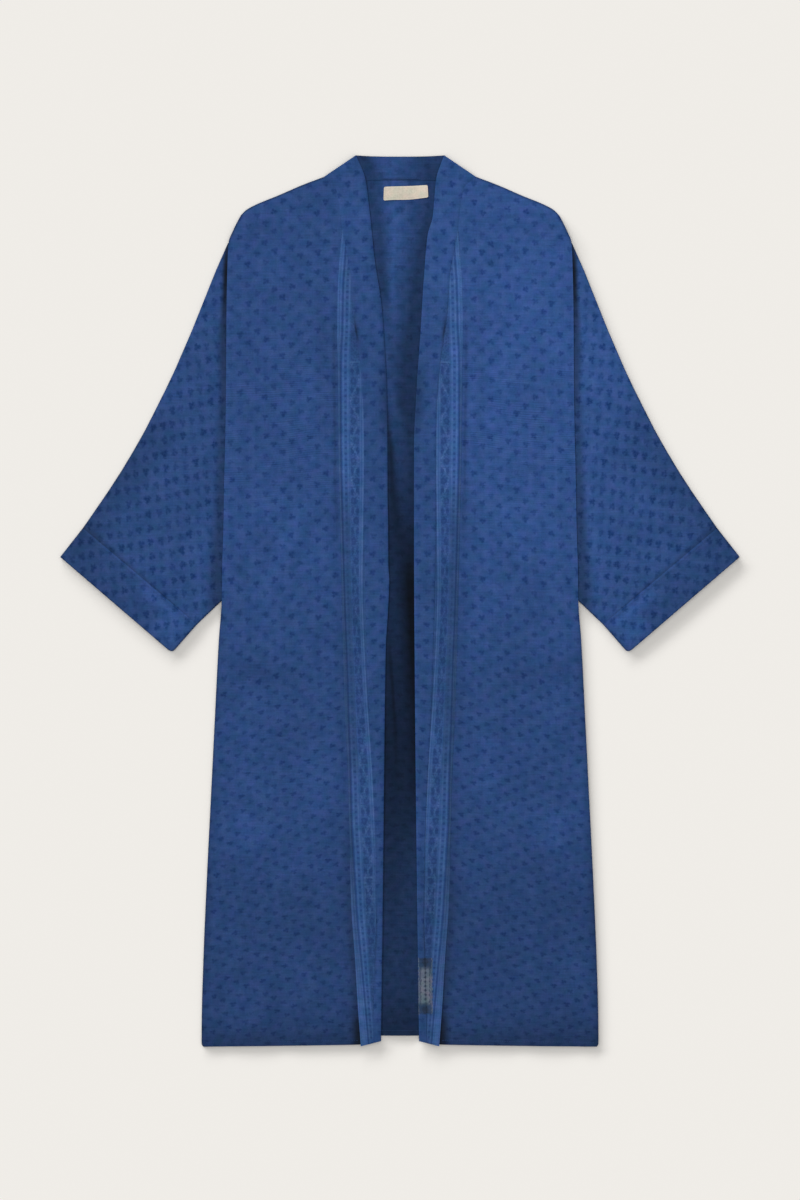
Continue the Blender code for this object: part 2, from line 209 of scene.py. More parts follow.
STRIP_EDGE = table(
    Edge,
    (502.2, 78.3), (457.7, 81.8), (420, 84), (366, 84.6), (298.4, 83.9), (203.9, 83), (95.9, 80.6),
    (1.4, 78.6), (-133.7, 74.9), (-255.2, 69.8), (-403.7, 66.2), (-480.6, 61), (-542.7, 57.2),
    (-600.8, 52.9),
)

SLEEVE_FOLD = table(
    Edge,
    (483, 232.2), (464.5, 240.3), (446.2, 248.4), (419.2, 259.2), (392.2, 270), (365.2, 280.8),
    (338.9, 292.1), (311.9, 303.8), (284.9, 316.6), (257.9, 330.1), (230.2, 344.2), (202.5, 359.8),
    (175.5, 376), (148.5, 393.5), (121.5, 412), (97.9, 428.4),
)

TUCK_TOP = Corner(222.0, 489.0)
TUCK_FOOT = Corner(230.2, 11.5)
UNDERARM = Corner(240.4, 0.5)
CUFF_SEAM_FOOT = Corner(274.5, -32.1)
CUFF_TIP = Corner(458.6, 59.4)
CUFF_FOOT = Corner(307.8, -70.2)
BACK_NECK_Y = 569.7
TOP_Y = 520.8
FOOT_Y = -601.5
THICKNESS = 0.4
SHARP_ANGLE = 50.0
CLEARANCE = 0.12
INSIDE_SHIFT = 3.5

# Print repeats down the body: the cloth lies at a slant towards the hem, so they close up
REPEAT_ACROSS = 11.7
REPEAT_DOWN = 26.3
REPEAT_CLOSING = table(
    Tone,
    (600, 1), (250, 0.99), (60, 0.92), (-60, 0.76), (-200, 0.71), (-600, 0.67),
)
DROP_CLOSING = table(
    Tone,
    (600, 0), (100, 0), (-150, -0.12), (-600, -0.12),
)
BIAS = 0.000205

# Painted light and shade: the right side is lighter towards the neck and a little darker at the hem
SIDE_LIGHT = table(
    Tone,
    (600, 1.19), (370, 1.22), (240, 1.18), (100, 1.095), (-40, 1.02), (-235, 0.985), (-600, 0.95),
)


def through(rows: tuple, at: np.ndarray, value: str = "", key: str = "y") -> np.ndarray:
    """Reads a table on a smooth curve through its rows, without overshoot.

    Args:
        rows: The table's rows.
        at: Places in the key column.
        value: Name of the column that is read; the second one where none is named.
        key: Name of the column that is looked up.

    Returns:
        The value at each place.
    """
    value = value or rows[0]._fields[1]
    pairs = np.array(sorted((getattr(row, key), getattr(row, value)) for row in rows), float)
    keys, values = pairs[:, 0], pairs[:, 1]
    steps = np.diff(keys)
    slopes = np.diff(values) / steps
    tangents = np.empty(len(keys))
    tangents[0], tangents[-1] = slopes[0], slopes[-1]
    before, after = slopes[:-1], slopes[1:]
    same = before * after > 0
    tangents[1:-1] = np.where(same, 2 * before * after / np.where(same, before + after, 1.0), 0.0)
    at = np.clip(np.asarray(at, float), keys[0], keys[-1])
    i = np.clip(np.searchsorted(keys, at, side="right") - 1, 0, len(keys) - 2)
    t = (at - keys[i]) / steps[i]
    start = (1 + 2 * t) * (1 - t) ** 2 * values[i] + t * (1 - t) ** 2 * steps[i] * tangents[i]
    end = t * t * (3 - 2 * t) * values[i + 1] + t * t * (t - 1) * steps[i] * tangents[i + 1]
    return start + end


def ease(low: float, high: float, at: np.ndarray) -> np.ndarray:
    """Smooth rise from 0 at low to 1 at high; with low above high it falls."""
    t = np.clip((np.asarray(at, float) - low) / (high - low), 0.0, 1.0)
    return t * t * (3 - 2 * t)


def hill(at: np.ndarray, reach: float, centre: float = 0.0) -> np.ndarray:
    """Smooth hill of height 1 at its centre, down to about a third at its reach."""
    return np.exp(-(((at - centre) / reach) ** 2))


def between(start: object, end: object, share: np.ndarray) -> np.ndarray:
    """Place at a share of the way from start to end, each a number, a point or an array.

    Args:
        start: Where the way starts.
        end: Where it ends.
        share: Share of the way, from 0 to 1.

    Returns:
        The place, or the places.
    """
    start = np.asarray(start, float)
    return start + (np.asarray(end, float) - start) * share


def spread(start: float, end: float, count: int) -> np.ndarray:
    """Evenly spaced values from start to end."""
    return np.linspace(start, end, count)


def paced(*stretches: tuple) -> np.ndarray:
    """Values from stretch to stretch, each given as its start, its end and its number of steps."""
    parts = [np.linspace(start, end, steps, endpoint=False) for start, end, steps in stretches]
    return np.concatenate([*parts, [stretches[-1][1]]])


@dataclass(frozen=True)
class Crease:
    """A soft ridge, or a trough where the height is negative, along a gently bowed line."""

    start: Corner
    end: Corner
    half_width: float
    height: float
    bow: float = 0.0

    def rise(self, x: np.ndarray, y: np.ndarray) -> np.ndarray:
        """Height that the crease adds at each point.

        Args:
            x: Distance out from the middle line.
            y: Height along the robe.

        Returns:
            The height, in millimetres.
        """
        dx, dy = self.end.x - self.start.x, self.end.y - self.start.y
        length = math.hypot(dx, dy)
        along = ((x - self.start.x) * dx + (y - self.start.y) * dy) / length**2
        off = ((x - self.start.x) * dy - (y - self.start.y) * dx) / length
        inside = np.clip(along, 0.0, 1.0)
        off = off - self.bow * 4 * inside * (1 - inside)
        ends = ease(-0.18, 0.22, along) * ease(1.18, 0.78, along)
        return self.height * hill(off, self.half_width) * ends


def bent(*rows: tuple) -> tuple:
    """Creases, each given as X and Y of its start and of its end, half width, height and bow.

    Args:
        rows: The numbers of each crease. In a table of painted shading streaks the height is a change of
            tone, lighter where it is positive.

    Returns:
        The creases.
    """
    return tuple(Crease(Corner(*row[:2]), Corner(*row[2:4]), *row[4:]) for row in rows)


def relief(creases: tuple, x: np.ndarray, y: np.ndarray) -> np.ndarray:
    """Sum of the creases at each point."""
    return sum((crease.rise(x, y) for crease in creases), np.zeros_like(x))


def furrow(rows: tuple, x: np.ndarray, y: np.ndarray) -> np.ndarray:
    """Share of the light that is left beside the dark line of a fold that runs down the robe."""
    return 1 - through(rows, y, "depth") * hill(x - through(rows, y), through(rows, y, "half"))


def shadows(rows: tuple, off: np.ndarray, y: np.ndarray) -> list[np.ndarray]:
    """Depth of each soft dark line at each point.

    Args:
        rows: The lines.
        off: Distance from the edge that they lie beside.
        y: Height along the robe.

    Returns:
        The depths, line by line.
    """
    return [
        row.depth * hill(off, row.reach, row.inset) * math.prod(ease(*span, y) for span in row.spans)
        for row in rows
    ]


def print_down(y: np.ndarray) -> np.ndarray:
    """Number of print repeats from the shoulder down to a height, closing up towards the hem.

    Args:
        y: Height along the robe.

    Returns:
        The number of repeats.
    """
    heights = spread(620.0, -620.0, 249)
    shares = through(REPEAT_CLOSING, heights)
    steps = -np.diff(heights) / (REPEAT_DOWN * 0.5 * (shares[1:] + shares[:-1]))
    counts = np.concatenate([[0.0], np.cumsum(steps)])
    return np.interp(-np.asarray(y, float), -heights, counts)


def body_print(x: np.ndarray, y: np.ndarray) -> np.ndarray:
    """Print coordinates on the body, in repeats across and down; the cloth drifts in on the bias low down.

    Args:
        x: Distance out from the middle line.
        y: Height along the robe.

    Returns:
        The coordinates, across and down.
    """
    drift = BIAS * np.minimum(y, 0.0) ** 2
    across = (x + drift) / REPEAT_ACROSS
    down = print_down(y) + across * through(DROP_CLOSING, y)
    return np.stack([across, down], axis=2)


def below_shoulder(x: np.ndarray, y: np.ndarray) -> np.ndarray:
    """Distance down from the shoulder seam."""
    return np.maximum(through(SHOULDER, x, "y", key="x") - y, 0.0)


def side_light(x: np.ndarray, y: np.ndarray) -> np.ndarray:
    """Share of painted light at a place, by its signed distance from the middle line."""
    return 1 + (through(SIDE_LIGHT, y) - 1) * ease(-40.0, 130.0, x)


def placed(name: str, data: bpy.types.ID) -> bpy.types.Object:
    """A new object in the scene, at the origin."""
    obj = bpy.data.objects.new(name, data)
    bpy.context.scene.collection.objects.link(obj)
    return obj


@dataclass
class ClothGrid:
    """A cloth as a grid of points on its upper face, with its print coordinates and its painted shade."""

    points: np.ndarray
    prints: np.ndarray
    shade: np.ndarray
    thickness: float
    wraps: bool = False
    outward: float = 1.0
    unfolded: tuple[float, float] | None = None

    def normals(self) -> np.ndarray:
        """Unit normals of the grid, on the side that shows.

        Returns:
            A unit vector for each point.
        """
        p = self.points
        if self.wraps:
            across = np.roll(p, -1, axis=1) - np.roll(p, 1, axis=1)
        else:
            across = np.gradient(p, axis=1)
        along = np.gradient(p, axis=0)
        n = np.cross(across, along)
        return self.outward * n / np.maximum(np.linalg.norm(n, axis=2, keepdims=True), 1e-9)

    def area(self) -> float:
        """Area of the cloth in square metres.

        Returns:
            The area of the one layer that is modelled.
        """
        p = self.points if not self.wraps else np.concatenate([self.points, self.points[:, :1]], axis=1)
        a, b, c, d = p[:-1, :-1], p[:-1, 1:], p[1:, 1:], p[1:, :-1]
        first = np.linalg.norm(np.cross(b - a, c - a), axis=2)
        second = np.linalg.norm(np.cross(c - a, d - a), axis=2)
        return float((first.sum() + second.sum()) / 2) * MM * MM

    def cut(self) -> tuple[float, float]:
        """Width and length of the rectangle that the cloth is cut from, in metres.

        Returns:
            The width and the length.
        """
        if self.unfolded:
            return self.unfolded[0] * MM, self.unfolded[1] * MM
        width, length = (
            float(np.linalg.norm(np.diff(self.points, axis=way), axis=2).sum(axis=way).max())
            for way in (1, 0)
        )
        return width * MM, length * MM

    def mesh(self, name: str) -> bpy.types.Object:
        """Makes the cloth as a closed thin shell with a UV map for its print and an attribute of painted
        shade.

        Args:
            name: The new object's name.

        Returns:
            The object, at the origin.
        """
        rows, columns = self.points.shape[:2]
        over = self.points.reshape(-1, 3)
        under = (self.points - self.normals() * self.thickness).reshape(-1, 3)
        below = rows * columns
        index = np.arange(below).reshape(rows, columns)
        left, right = (index, np.roll(index, -1, axis=1)) if self.wraps else (index[:, :-1], index[:, 1:])
        a, b = left[:-1].ravel(), right[:-1].ravel()
        d, e = left[1:].ravel(), right[1:].ravel()
        top = np.stack([a, b, e, d], axis=1)
        base = np.stack([a, d, e, b], axis=1) + below
        rims = [(left[0], right[0], -1), (left[-1], right[-1], 1)]
        if not self.wraps:
            rims += [(index[:-1, 0], index[1:, 0], 1), (index[:-1, -1], index[1:, -1], -1)]
        rims = [np.stack([p, q, q + below, p + below], axis=1)[:, ::way] for p, q, way in rims]
        faces = np.concatenate([top, base, *rims])
        if self.outward > 0:
            faces = faces[:, ::-1]
        mesh = bpy.data.meshes.new(name)
        mesh.from_pydata((np.concatenate([over, under]) * MM).tolist(), [], faces.tolist())
        corners = np.empty(len(mesh.loops), np.int32)
        mesh.loops.foreach_get("vertex_index", corners)
        flat = np.concatenate([self.prints.reshape(-1, 2)] * 2)
        mesh.uv_layers.new(name="print").data.foreach_set("uv", flat[corners].astype(np.float32).ravel())
        # The shade attribute is painted light and shade, which the material multiplies into the colour
        shade = self.shade * side_light(self.points[..., 0], self.points[..., 1])
        dark = mesh.attributes.new("shade", "FLOAT", "POINT")
        dark.data.foreach_set("value", np.concatenate([shade.ravel()] * 2).astype(np.float32))
        mesh.validate()
        mesh.shade_smooth()
        mesh.set_sharp_from_angle(angle=math.radians(SHARP_ANGLE))
        return placed(name, mesh)


class NodeSketch:
    """Adds and links shader or geometry nodes in one tree."""

    def __init__(self, tree: bpy.types.NodeTree) -> None:
        """Keeps the tree that is drawn in."""
        self.tree = tree

    def node(self, kind: str, **settings: object) -> bpy.types.Node:
        """Adds a node and sets its properties.

        Args:
            kind: Blender's name for the kind of node.
            settings: Values of its properties, by name.

        Returns:
            The node.
        """
        made = self.tree.nodes.new(kind)
        for name, value in settings.items():
            setattr(made, name, value)
        return made

    def feed(self, socket: bpy.types.NodeSocket, value: object) -> None:
        """Links a socket into another, or sets its value."""
        if isinstance(value, bpy.types.NodeSocket):
            self.tree.links.new(value, socket)
        elif value is not None:
            socket.default_value = value

    def maths(self, operation: str, *values: object) -> bpy.types.NodeSocket:
        """A Math node's result.

        Args:
            operation: The node's operation.
            values: Its inputs, each a number or a socket.

        Returns:
            The result's socket.
        """
        made = self.node("ShaderNodeMath", operation=operation)
        for socket, value in zip(made.inputs, values):
            self.feed(socket, value)
        return made.outputs[0]

    def chain(self, operation: str, values: tuple) -> bpy.types.NodeSocket:
        """Values joined two by two with one operation."""
        return reduce(lambda kept, value: self.maths(operation, kept, value), values)

    def plus(self, *values: object) -> bpy.types.NodeSocket:
        """Sum of the values."""
        return self.chain("ADD", values)

    def times(self, *values: object) -> bpy.types.NodeSocket:
        """Product of the values."""
        return self.chain("MULTIPLY", values)

    def most(self, *values: object) -> bpy.types.NodeSocket:
        """The largest of the values."""
        return self.chain("MAXIMUM", values)

    def minus(self, first: object, second: object) -> bpy.types.NodeSocket:
        """The first value less the second."""
        return self.maths("SUBTRACT", first, second)

    def over(self, first: object, second: object) -> bpy.types.NodeSocket:
        """The first value divided by the second."""
        return self.maths("DIVIDE", first, second)

    def size(self, value: object) -> bpy.types.NodeSocket:
        """A value without its sign."""
        return self.maths("ABSOLUTE", value)

    def far(self, x: object, y: object) -> bpy.types.NodeSocket:
        """Distance of a point from the origin."""
        return self.maths("SQRT", self.plus(self.times(x, x), self.times(y, y)))

    def noise(self, place: object, scale: float = 1.0, detail: float = 2.0,
              flat: bool = False) -> bpy.types.Node:
        """A noise texture, in two dimensions where it is flat.

        Args:
            place: Where the noise is read.
            scale: How fine it is.
            detail: How many finer layers it has.
            flat: Whether it has two dimensions.

        Returns:
            The node.
        """
        made = self.node("ShaderNodeTexNoise", noise_dimensions="2D" if flat else "3D")
        self.feed(made.inputs["Vector"], place)
        self.feed(made.inputs["Scale"], scale)
        self.feed(made.inputs["Detail"], detail)
        return made

    def step(self, value: object, low: float, high: float) -> bpy.types.NodeSocket:
        """Smooth rise from 0 at low to 1 at high; with low above high it falls."""
        if low > high:
            return self.range(value, high, low, 1.0, 0.0, "SMOOTHSTEP")
        return self.range(value, low, high, 0.0, 1.0, "SMOOTHSTEP")

    def range(self, value: object, low: float, high: float, to_low: float, to_high: float,
              way: str = "LINEAR") -> bpy.types.NodeSocket:
        """Change from one range of values to another.

        Args:
            value: The value.
            low: Start of its range.
            high: End of its range.
            to_low: Start of the new range.
            to_high: End of the new range.
            way: How values in between are taken over.

        Returns:
            The changed value's socket.
        """
        made = self.node("ShaderNodeMapRange", interpolation_type=way)
        numbers = {"Value": value, "From Min": low, "From Max": high, "To Min": to_low, "To Max": to_high}
        for name, number in numbers.items():
            self.feed(made.inputs[name], number)
        return made.outputs[0]

    def vary(self, value: object, amount: float) -> bpy.types.NodeSocket:
        """A share that varies about 1 by an amount, as a noise does."""
        return self.range(value, 0.3, 0.7, 1 - amount, 1 + amount)

    def split(self, vector: object) -> tuple:
        """The three parts of a vector."""
        made = self.node("ShaderNodeSeparateXYZ")
        self.feed(made.inputs[0], vector)
        return tuple(made.outputs)

    def join(self, x: object = 0.0, y: object = 0.0, z: object = 0.0) -> bpy.types.NodeSocket:
        """A vector from three parts."""
        made = self.node("ShaderNodeCombineXYZ")
        for socket, value in zip(made.inputs, (x, y, z)):
            self.feed(socket, value)
        return made.outputs[0]

    def blend(self, share: object, first: object, second: object, way: str = "MIX") -> bpy.types.NodeSocket:
        """A colour mixed from two.

        Args:
            share: Share of the second colour.
            first: The first colour.
            second: The second colour.
            way: How they are mixed.

        Returns:
            The colour's socket.
        """
        made = self.node("ShaderNodeMix", data_type="RGBA", blend_type=way)
        self.feed(made.inputs["Factor"], share)
        self.feed(made.inputs[6], first)
        self.feed(made.inputs[7], second)
        return made.outputs[2]

    def group(self, tree: bpy.types.NodeTree, **values: object) -> bpy.types.Node:
        """Places a node group and feeds its named inputs, with underscores for spaces.

        Args:
            tree: The group.
            values: Its inputs, by name.

        Returns:
            The group's node.
        """
        made = self.node("ShaderNodeGroup", node_tree=tree)
        for name, value in values.items():
            self.feed(made.inputs[name.replace("_", " ")], value)
        return made


def new_group(name: str, inputs: dict, outputs: tuple) -> tuple[NodeSketch, bpy.types.Node, bpy.types.Node]:
    """Starts a shader node group.

    Args:
        name: The group's name.
        inputs: Default value of each input; a tuple makes a vector input.
        outputs: Names of the outputs, each a number.

    Returns:
        The sketch of its tree, its input node and its output node.
    """
    tree = bpy.data.node_groups.new(name, "ShaderNodeTree")
    for label, value in inputs.items():
        kind = "NodeSocketVector" if isinstance(value, tuple) else "NodeSocketFloat"
        socket = tree.interface.new_socket(label, in_out="INPUT", socket_type=kind)
        socket.default_value = value
    for label in outputs:
        tree.interface.new_socket(label, in_out="OUTPUT", socket_type="NodeSocketFloat")
    sketch = NodeSketch(tree)
    return sketch, sketch.node("NodeGroupInput"), sketch.node("NodeGroupOutput")


class PrintWorks:
    """The node groups that more than one cloth uses."""

    def __init__(self) -> None:
        """Builds each group once."""
        self.sprig = self.make_sprig()
        self.border = self.make_border()
        self.block = self.make_block()
        self.weave = self.make_weave()

    @staticmethod
    def make_sprig() -> bpy.types.NodeTree:
        """Small three-petal sprigs in columns, each column dropped against the last.

        Returns:
            The group's tree.
        """
        n, given, out = new_group(
            "SprigPrint",
            {"Place": (0.0, 0.0, 0.0), "Column width": REPEAT_ACROSS, "Repeat": REPEAT_DOWN, "Drop": 0.42,
             "Petal length": 3.0, "Petal width": 2.6, "Wander": 1.9, "Stretch": 1.0, "Fray": 4.2,
             "Turn": 1.3},
            ("Mask",),
        )
        sizes = given.outputs
        u, v, _ = n.split(sizes["Place"])
        column = n.maths("FLOOR", u)
        dropped = n.plus(v, n.times(column, sizes["Drop"]))
        row = n.maths("FLOOR", dropped)
        chance = n.node("ShaderNodeTexWhiteNoise", noise_dimensions="2D")
        n.feed(chance.inputs["Vector"], n.join(column, row))
        chances = n.split(chance.outputs["Color"])

        def wandered(at: object, cell: object, width: str, stray: object) -> bpy.types.NodeSocket:
            """Distance from the middle of a cell, which has wandered a little."""
            off = n.times(n.minus(n.minus(at, cell), 0.5), sizes[width])
            return n.plus(off, n.times(n.minus(stray, 0.5), sizes["Wander"]))

        x = wandered(u, column, "Column width", chances[0])
        y = n.over(wandered(dropped, row, "Repeat", chances[1]), sizes["Stretch"])
        frayed = n.noise(n.join(n.times(u, 3.6), n.times(v, 8.0)), detail=1.0, flat=True)
        strays = n.split(frayed.outputs["Color"])
        x, y = (n.plus(off, n.times(n.minus(stray, 0.5), sizes["Fray"]))
                for off, stray in zip((x, y), strays))
        turn = n.times(n.minus(chances[2], 0.5), sizes["Turn"])
        petals = []
        for angle, reach, chosen in zip((80.0, 206.0, 322.0), (2.3, 2.0, 2.1), chances):
            heading = n.plus(turn, math.radians(angle))
            c, s = n.maths("COSINE", heading), n.maths("SINE", heading)
            ahead = n.over(n.minus(n.plus(n.times(x, c), n.times(y, s)), reach), sizes["Petal length"])
            aside = n.over(n.minus(n.times(y, c), n.times(x, s)), sizes["Petal width"])
            size = n.range(chosen, 0.0, 1.0, 0.72, 1.12)
            petals.append(n.step(n.over(n.far(ahead, aside), size), 1.5, 0.1))
        n.feed(out.inputs["Mask"], n.times(n.most(*petals), n.range(chances[1], 0.0, 1.0, 0.5, 1.0)))
        return n.tree

    @staticmethod
    def make_border() -> bpy.types.NodeTree:
        """Lines, a dotted stripe and a wavy stem with berries and leaflets, in from the outer edge.

        Returns:
            The group's tree.
        """
        n, given, out = new_group(
            "BorderPrint",
            {"Place": (0.0, 0.0, 0.0), "Dot pitch": 7.8, "Leaf pitch": 27.0, "Top": 322.0,
             "Inner line top": 273.0, "Foot": -424.0},
            ("Light", "Dark"),
        )
        across, down, _ = n.split(given.outputs["Place"])
        height = n.times(down, -1.0)
        top, leaf, pitch = (given.outputs[name] for name in ("Top", "Leaf pitch", "Dot pitch"))

        def line(at: object, centre: object, half: float) -> bpy.types.NodeSocket:
            """A soft line where a coordinate is near a value."""
            return n.step(n.size(n.minus(at, centre)), half + 0.6, max(half - 0.5, 0.0))

        frayed = n.noise(n.join(n.times(across, 0.3), n.times(down, 0.3)), detail=2.0, flat=True)
        stray, stray_down, _ = (n.minus(part, 0.5) for part in n.split(frayed.outputs["Color"]))
        across = n.plus(across, n.times(stray, 0.9))
        grains = n.node("ShaderNodeTexVoronoi", voronoi_dimensions="2D")
        n.feed(grains.inputs["Vector"], n.join(n.times(across, 0.30), n.times(down, 0.27)))
        grains.inputs["Scale"].default_value = 1.0
        grains.inputs["Randomness"].default_value = 0.7
        spots = n.step(grains.outputs["Distance"], 0.50, 0.22)
        drop = n.times(n.minus(n.maths("FRACT", n.over(down, pitch)), 0.5), pitch)
        dots = n.step(n.far(n.minus(across, 10.1), drop), 2.5, 1.0)

        below_top = n.maths("LESS_THAN", height, top)
        above_foot = n.minus(height, given.outputs["Foot"])
        shown = n.times(below_top, n.step(above_foot, 0.0, 4.0))
        worn_off = n.times(below_top, n.step(above_foot, -110.0, -30.0))
        middle = n.minus(across, 22.9)
        column = n.step(n.size(middle), 6.6, 5.8)
        middle = n.plus(middle, n.times(stray, 4.0))
        turns = n.over(n.plus(down, n.times(stray_down, 5.0)), leaf)
        swing = n.times(n.maths("COSINE", n.times(turns, math.pi)), -6.0)
        stem = n.times(n.step(n.size(n.minus(middle, swing)), 2.8, 0.6), column, shown)
        bend = n.maths("ROUND", turns)
        beyond = n.times(n.minus(turns, bend), leaf)
        berry = n.plus(middle, n.times(n.maths("COSINE", n.times(bend, math.pi)), -2.0))
        berry = n.maths("SQRT", n.plus(n.times(berry, berry), n.times(beyond, beyond, 0.7)))
        berry = n.times(n.step(berry, 4.9, 3.4), n.minus(1.0, n.times(n.step(berry, 2.2, 1.0), 0.45)))
        halfway = n.size(n.times(n.minus(n.maths("FRACT", turns), 0.5), leaf))
        leaflet = n.over(n.size(n.minus(n.size(middle), 3.7)), 2.6)
        leaflet = n.step(n.plus(leaflet, n.over(halfway, 7.0)), 1.45, 0.7)
        figures = n.times(n.most(berry, leaflet), column, worn_off)

        box = n.times(n.step(height, -423.0, -421.0), n.step(height, -370.0, -372.0))
        frame = n.most(line(height, -373.0, 1.3), line(height, -420.0, 1.3), line(n.size(middle), 5.6, 0.8))
        top_line = n.times(line(height, top, 1.0), n.step(across, 15.0, 16.0), n.step(across, 32.0, 30.8))
        below_next = n.maths("LESS_THAN", height, given.outputs["Inner line top"])
        worn = n.minus(1.0, n.times(n.step(height, 150.0, 90.0), n.step(height, -235.0, -165.0), 0.7))
        light = n.most(
            n.times(n.step(across, 4.2, 2.2), 0.38),
            n.times(line(across, 7.0, 0.9), worn, 0.44),
            n.times(line(across, 13.3, 0.9), worn, 0.44),
            n.times(top_line, 0.7),
            n.times(line(across, 30.8, 0.7), below_top, 0.45),
            n.times(line(across, 34.3, 1.0), below_next, 0.75),
            n.times(stem, worn, n.range(n.step(stray_down, -0.10, 0.06), 0.0, 1.0, 0.16, 0.74)),
            n.times(frame, box, column, 0.7),
        )
        dark = n.most(
            n.times(dots, n.range(worn, 0.0, 1.0, 0.3, 0.8)),
            n.times(line(across, 3.7, 1.4), 0.85),
            n.times(line(across, -0.2, 0.4), 0.6),
            n.times(line(across, 36.6, 0.5), below_next, 0.6),
            n.times(figures, 0.95),
            n.times(spots, column, 0.6),
        )
        n.feed(out.inputs["Light"], light)
        n.feed(out.inputs["Dark"], n.times(dark, n.minus(1.0, n.times(light, 0.7))))
        return n.tree

    @staticmethod
    def make_block() -> bpy.types.NodeTree:
        """An upright printed block, low on the right: bars, a chain of dots and a spearhead at each end.

        Returns:
            The group's tree.
        """
        n, given, out = new_group(
            "BlockPrint",
            {"Place": (0.0, 0.0, 0.0), "Left": 23.9, "Right": 44.4, "Top": -481.0, "Foot": -558.0},
            ("Cover", "Pale", "Dark"),
        )
        sizes = given.outputs
        x, y = (n.times(part, 1 / MM) for part in n.split(sizes["Place"])[:2])
        u = n.over(n.minus(x, sizes["Left"]), n.minus(sizes["Right"], sizes["Left"]))
        v = n.over(n.minus(sizes["Top"], y), n.minus(sizes["Top"], sizes["Foot"]))
        stray = n.times(n.minus(n.noise(sizes["Place"], 330.0, 2.0).outputs["Fac"], 0.5), 0.2)
        off_u = n.size(n.minus(n.plus(u, stray), 0.5))
        off_v = n.size(n.minus(n.plus(v, n.times(stray, 0.3)), 0.5))
        cover = n.times(n.step(off_u, 0.54, 0.42), n.step(off_v, 0.51, 0.47))
        centre = n.times(n.step(off_u, 0.44, 0.32), n.step(off_v, 0.36, 0.26))
        spear = n.step(n.plus(n.times(off_u, 0.42), n.size(n.minus(off_v, 0.42))), 0.115, 0.08)
        bars = n.times(n.step(n.size(n.minus(off_u, 0.30)), 0.05, 0.02), n.step(off_v, 0.36, 0.30), 0.75)
        beads = n.size(n.minus(n.maths("FRACT", n.times(v, 13.0)), 0.5))
        beads = n.step(n.plus(n.times(beads, 0.30), off_u), 0.16, 0.05)
        beads = n.times(beads, n.step(off_v, 0.33, 0.28), 0.8)
        stripes = n.times(n.step(n.size(n.minus(off_u, 0.44)), 0.03, 0.012), 0.7)
        n.feed(out.inputs["Cover"], cover)
        n.feed(out.inputs["Pale"], n.times(n.most(centre, stripes), cover))
        n.feed(out.inputs["Dark"], n.times(n.most(bars, beads, spear), cover))
        return n.tree

    @staticmethod
    def make_weave() -> bpy.types.NodeTree:
        """Plain weave with uneven weft threads: a height for bump, and a tone for colour.

        Returns:
            The group's tree.
        """
        n, given, out = new_group(
            "PlainWeave",
            {"Place": (0.0, 0.0, 0.0), "Threads per metre": 1600.0, "Slub": 1.0, "Ribbed": 0.0},
            ("Height", "Tone"),
        )
        x, y, _ = n.split(given.outputs["Place"])
        turns = n.times(given.outputs["Threads per metre"], math.pi)
        thread = n.times(n.maths("SINE", n.times(x, turns)), n.maths("SINE", n.times(y, turns)))

        def streaks(across: float, along: float, detail: float) -> bpy.types.NodeSocket:
            """Uneven threads, from -0.5 to 0.5."""
            noise = n.noise(n.join(n.times(x, across), n.times(y, along)), detail=detail, flat=True)
            return n.minus(noise.outputs["Fac"], 0.5)

        slub = n.times(streaks(36.0, 470.0, 3.0), given.outputs["Slub"], 0.6)
        lengthwise = n.times(streaks(520.0, 60.0, 2.0), 0.25)
        speckle = n.times(streaks(420.0, 420.0, 2.0), 0.45)
        uneven = n.plus(slub, lengthwise, speckle)
        slant = n.plus(n.times(y, 2150.0), n.times(n.size(x), 120.0))
        ribs = n.maths("SINE", n.plus(slant, n.times(streaks(7.0, 9.0, 1.0), 26.0)))
        patch = n.step(streaks(18.0, 34.0, 1.0), -0.12, 0.10)
        where = n.times(n.step(y, 0.085, 0.19), n.step(y, 0.39, 0.28))
        ribs = n.times(ribs, given.outputs["Ribbed"], patch, where)
        n.feed(out.inputs["Height"], n.plus(n.times(thread, 0.35), uneven, n.times(ribs, 0.6)))
        n.feed(out.inputs["Tone"], n.plus(1.0, n.times(uneven, 0.62), n.times(ribs, 0.09)))
        return n.tree


HUE_DRIFT = (2.4, 0.75, 0.4)
# Power on the tone in each channel: where the tone is low, painted shade included, blue falls a little faster
HUE_POWER = (1.0, 1.0, 1.05)
BLUE_SHEEN = (0.35, 0.5, 1.0)
WEAVE_DEPTH = 0.00015
WEAR_SCALE = 82.0
MOTTLE_SCALE = 13.0
SHEEN_ROUGHNESS = 0.4
ROUGHNESS_SPREAD = 0.06
BLOCK_INKS = {"Cover": (0.026, 0.054, 0.126), "Pale": (0.138, 0.176, 0.238), "Dark": (0.022, 0.040, 0.086)}


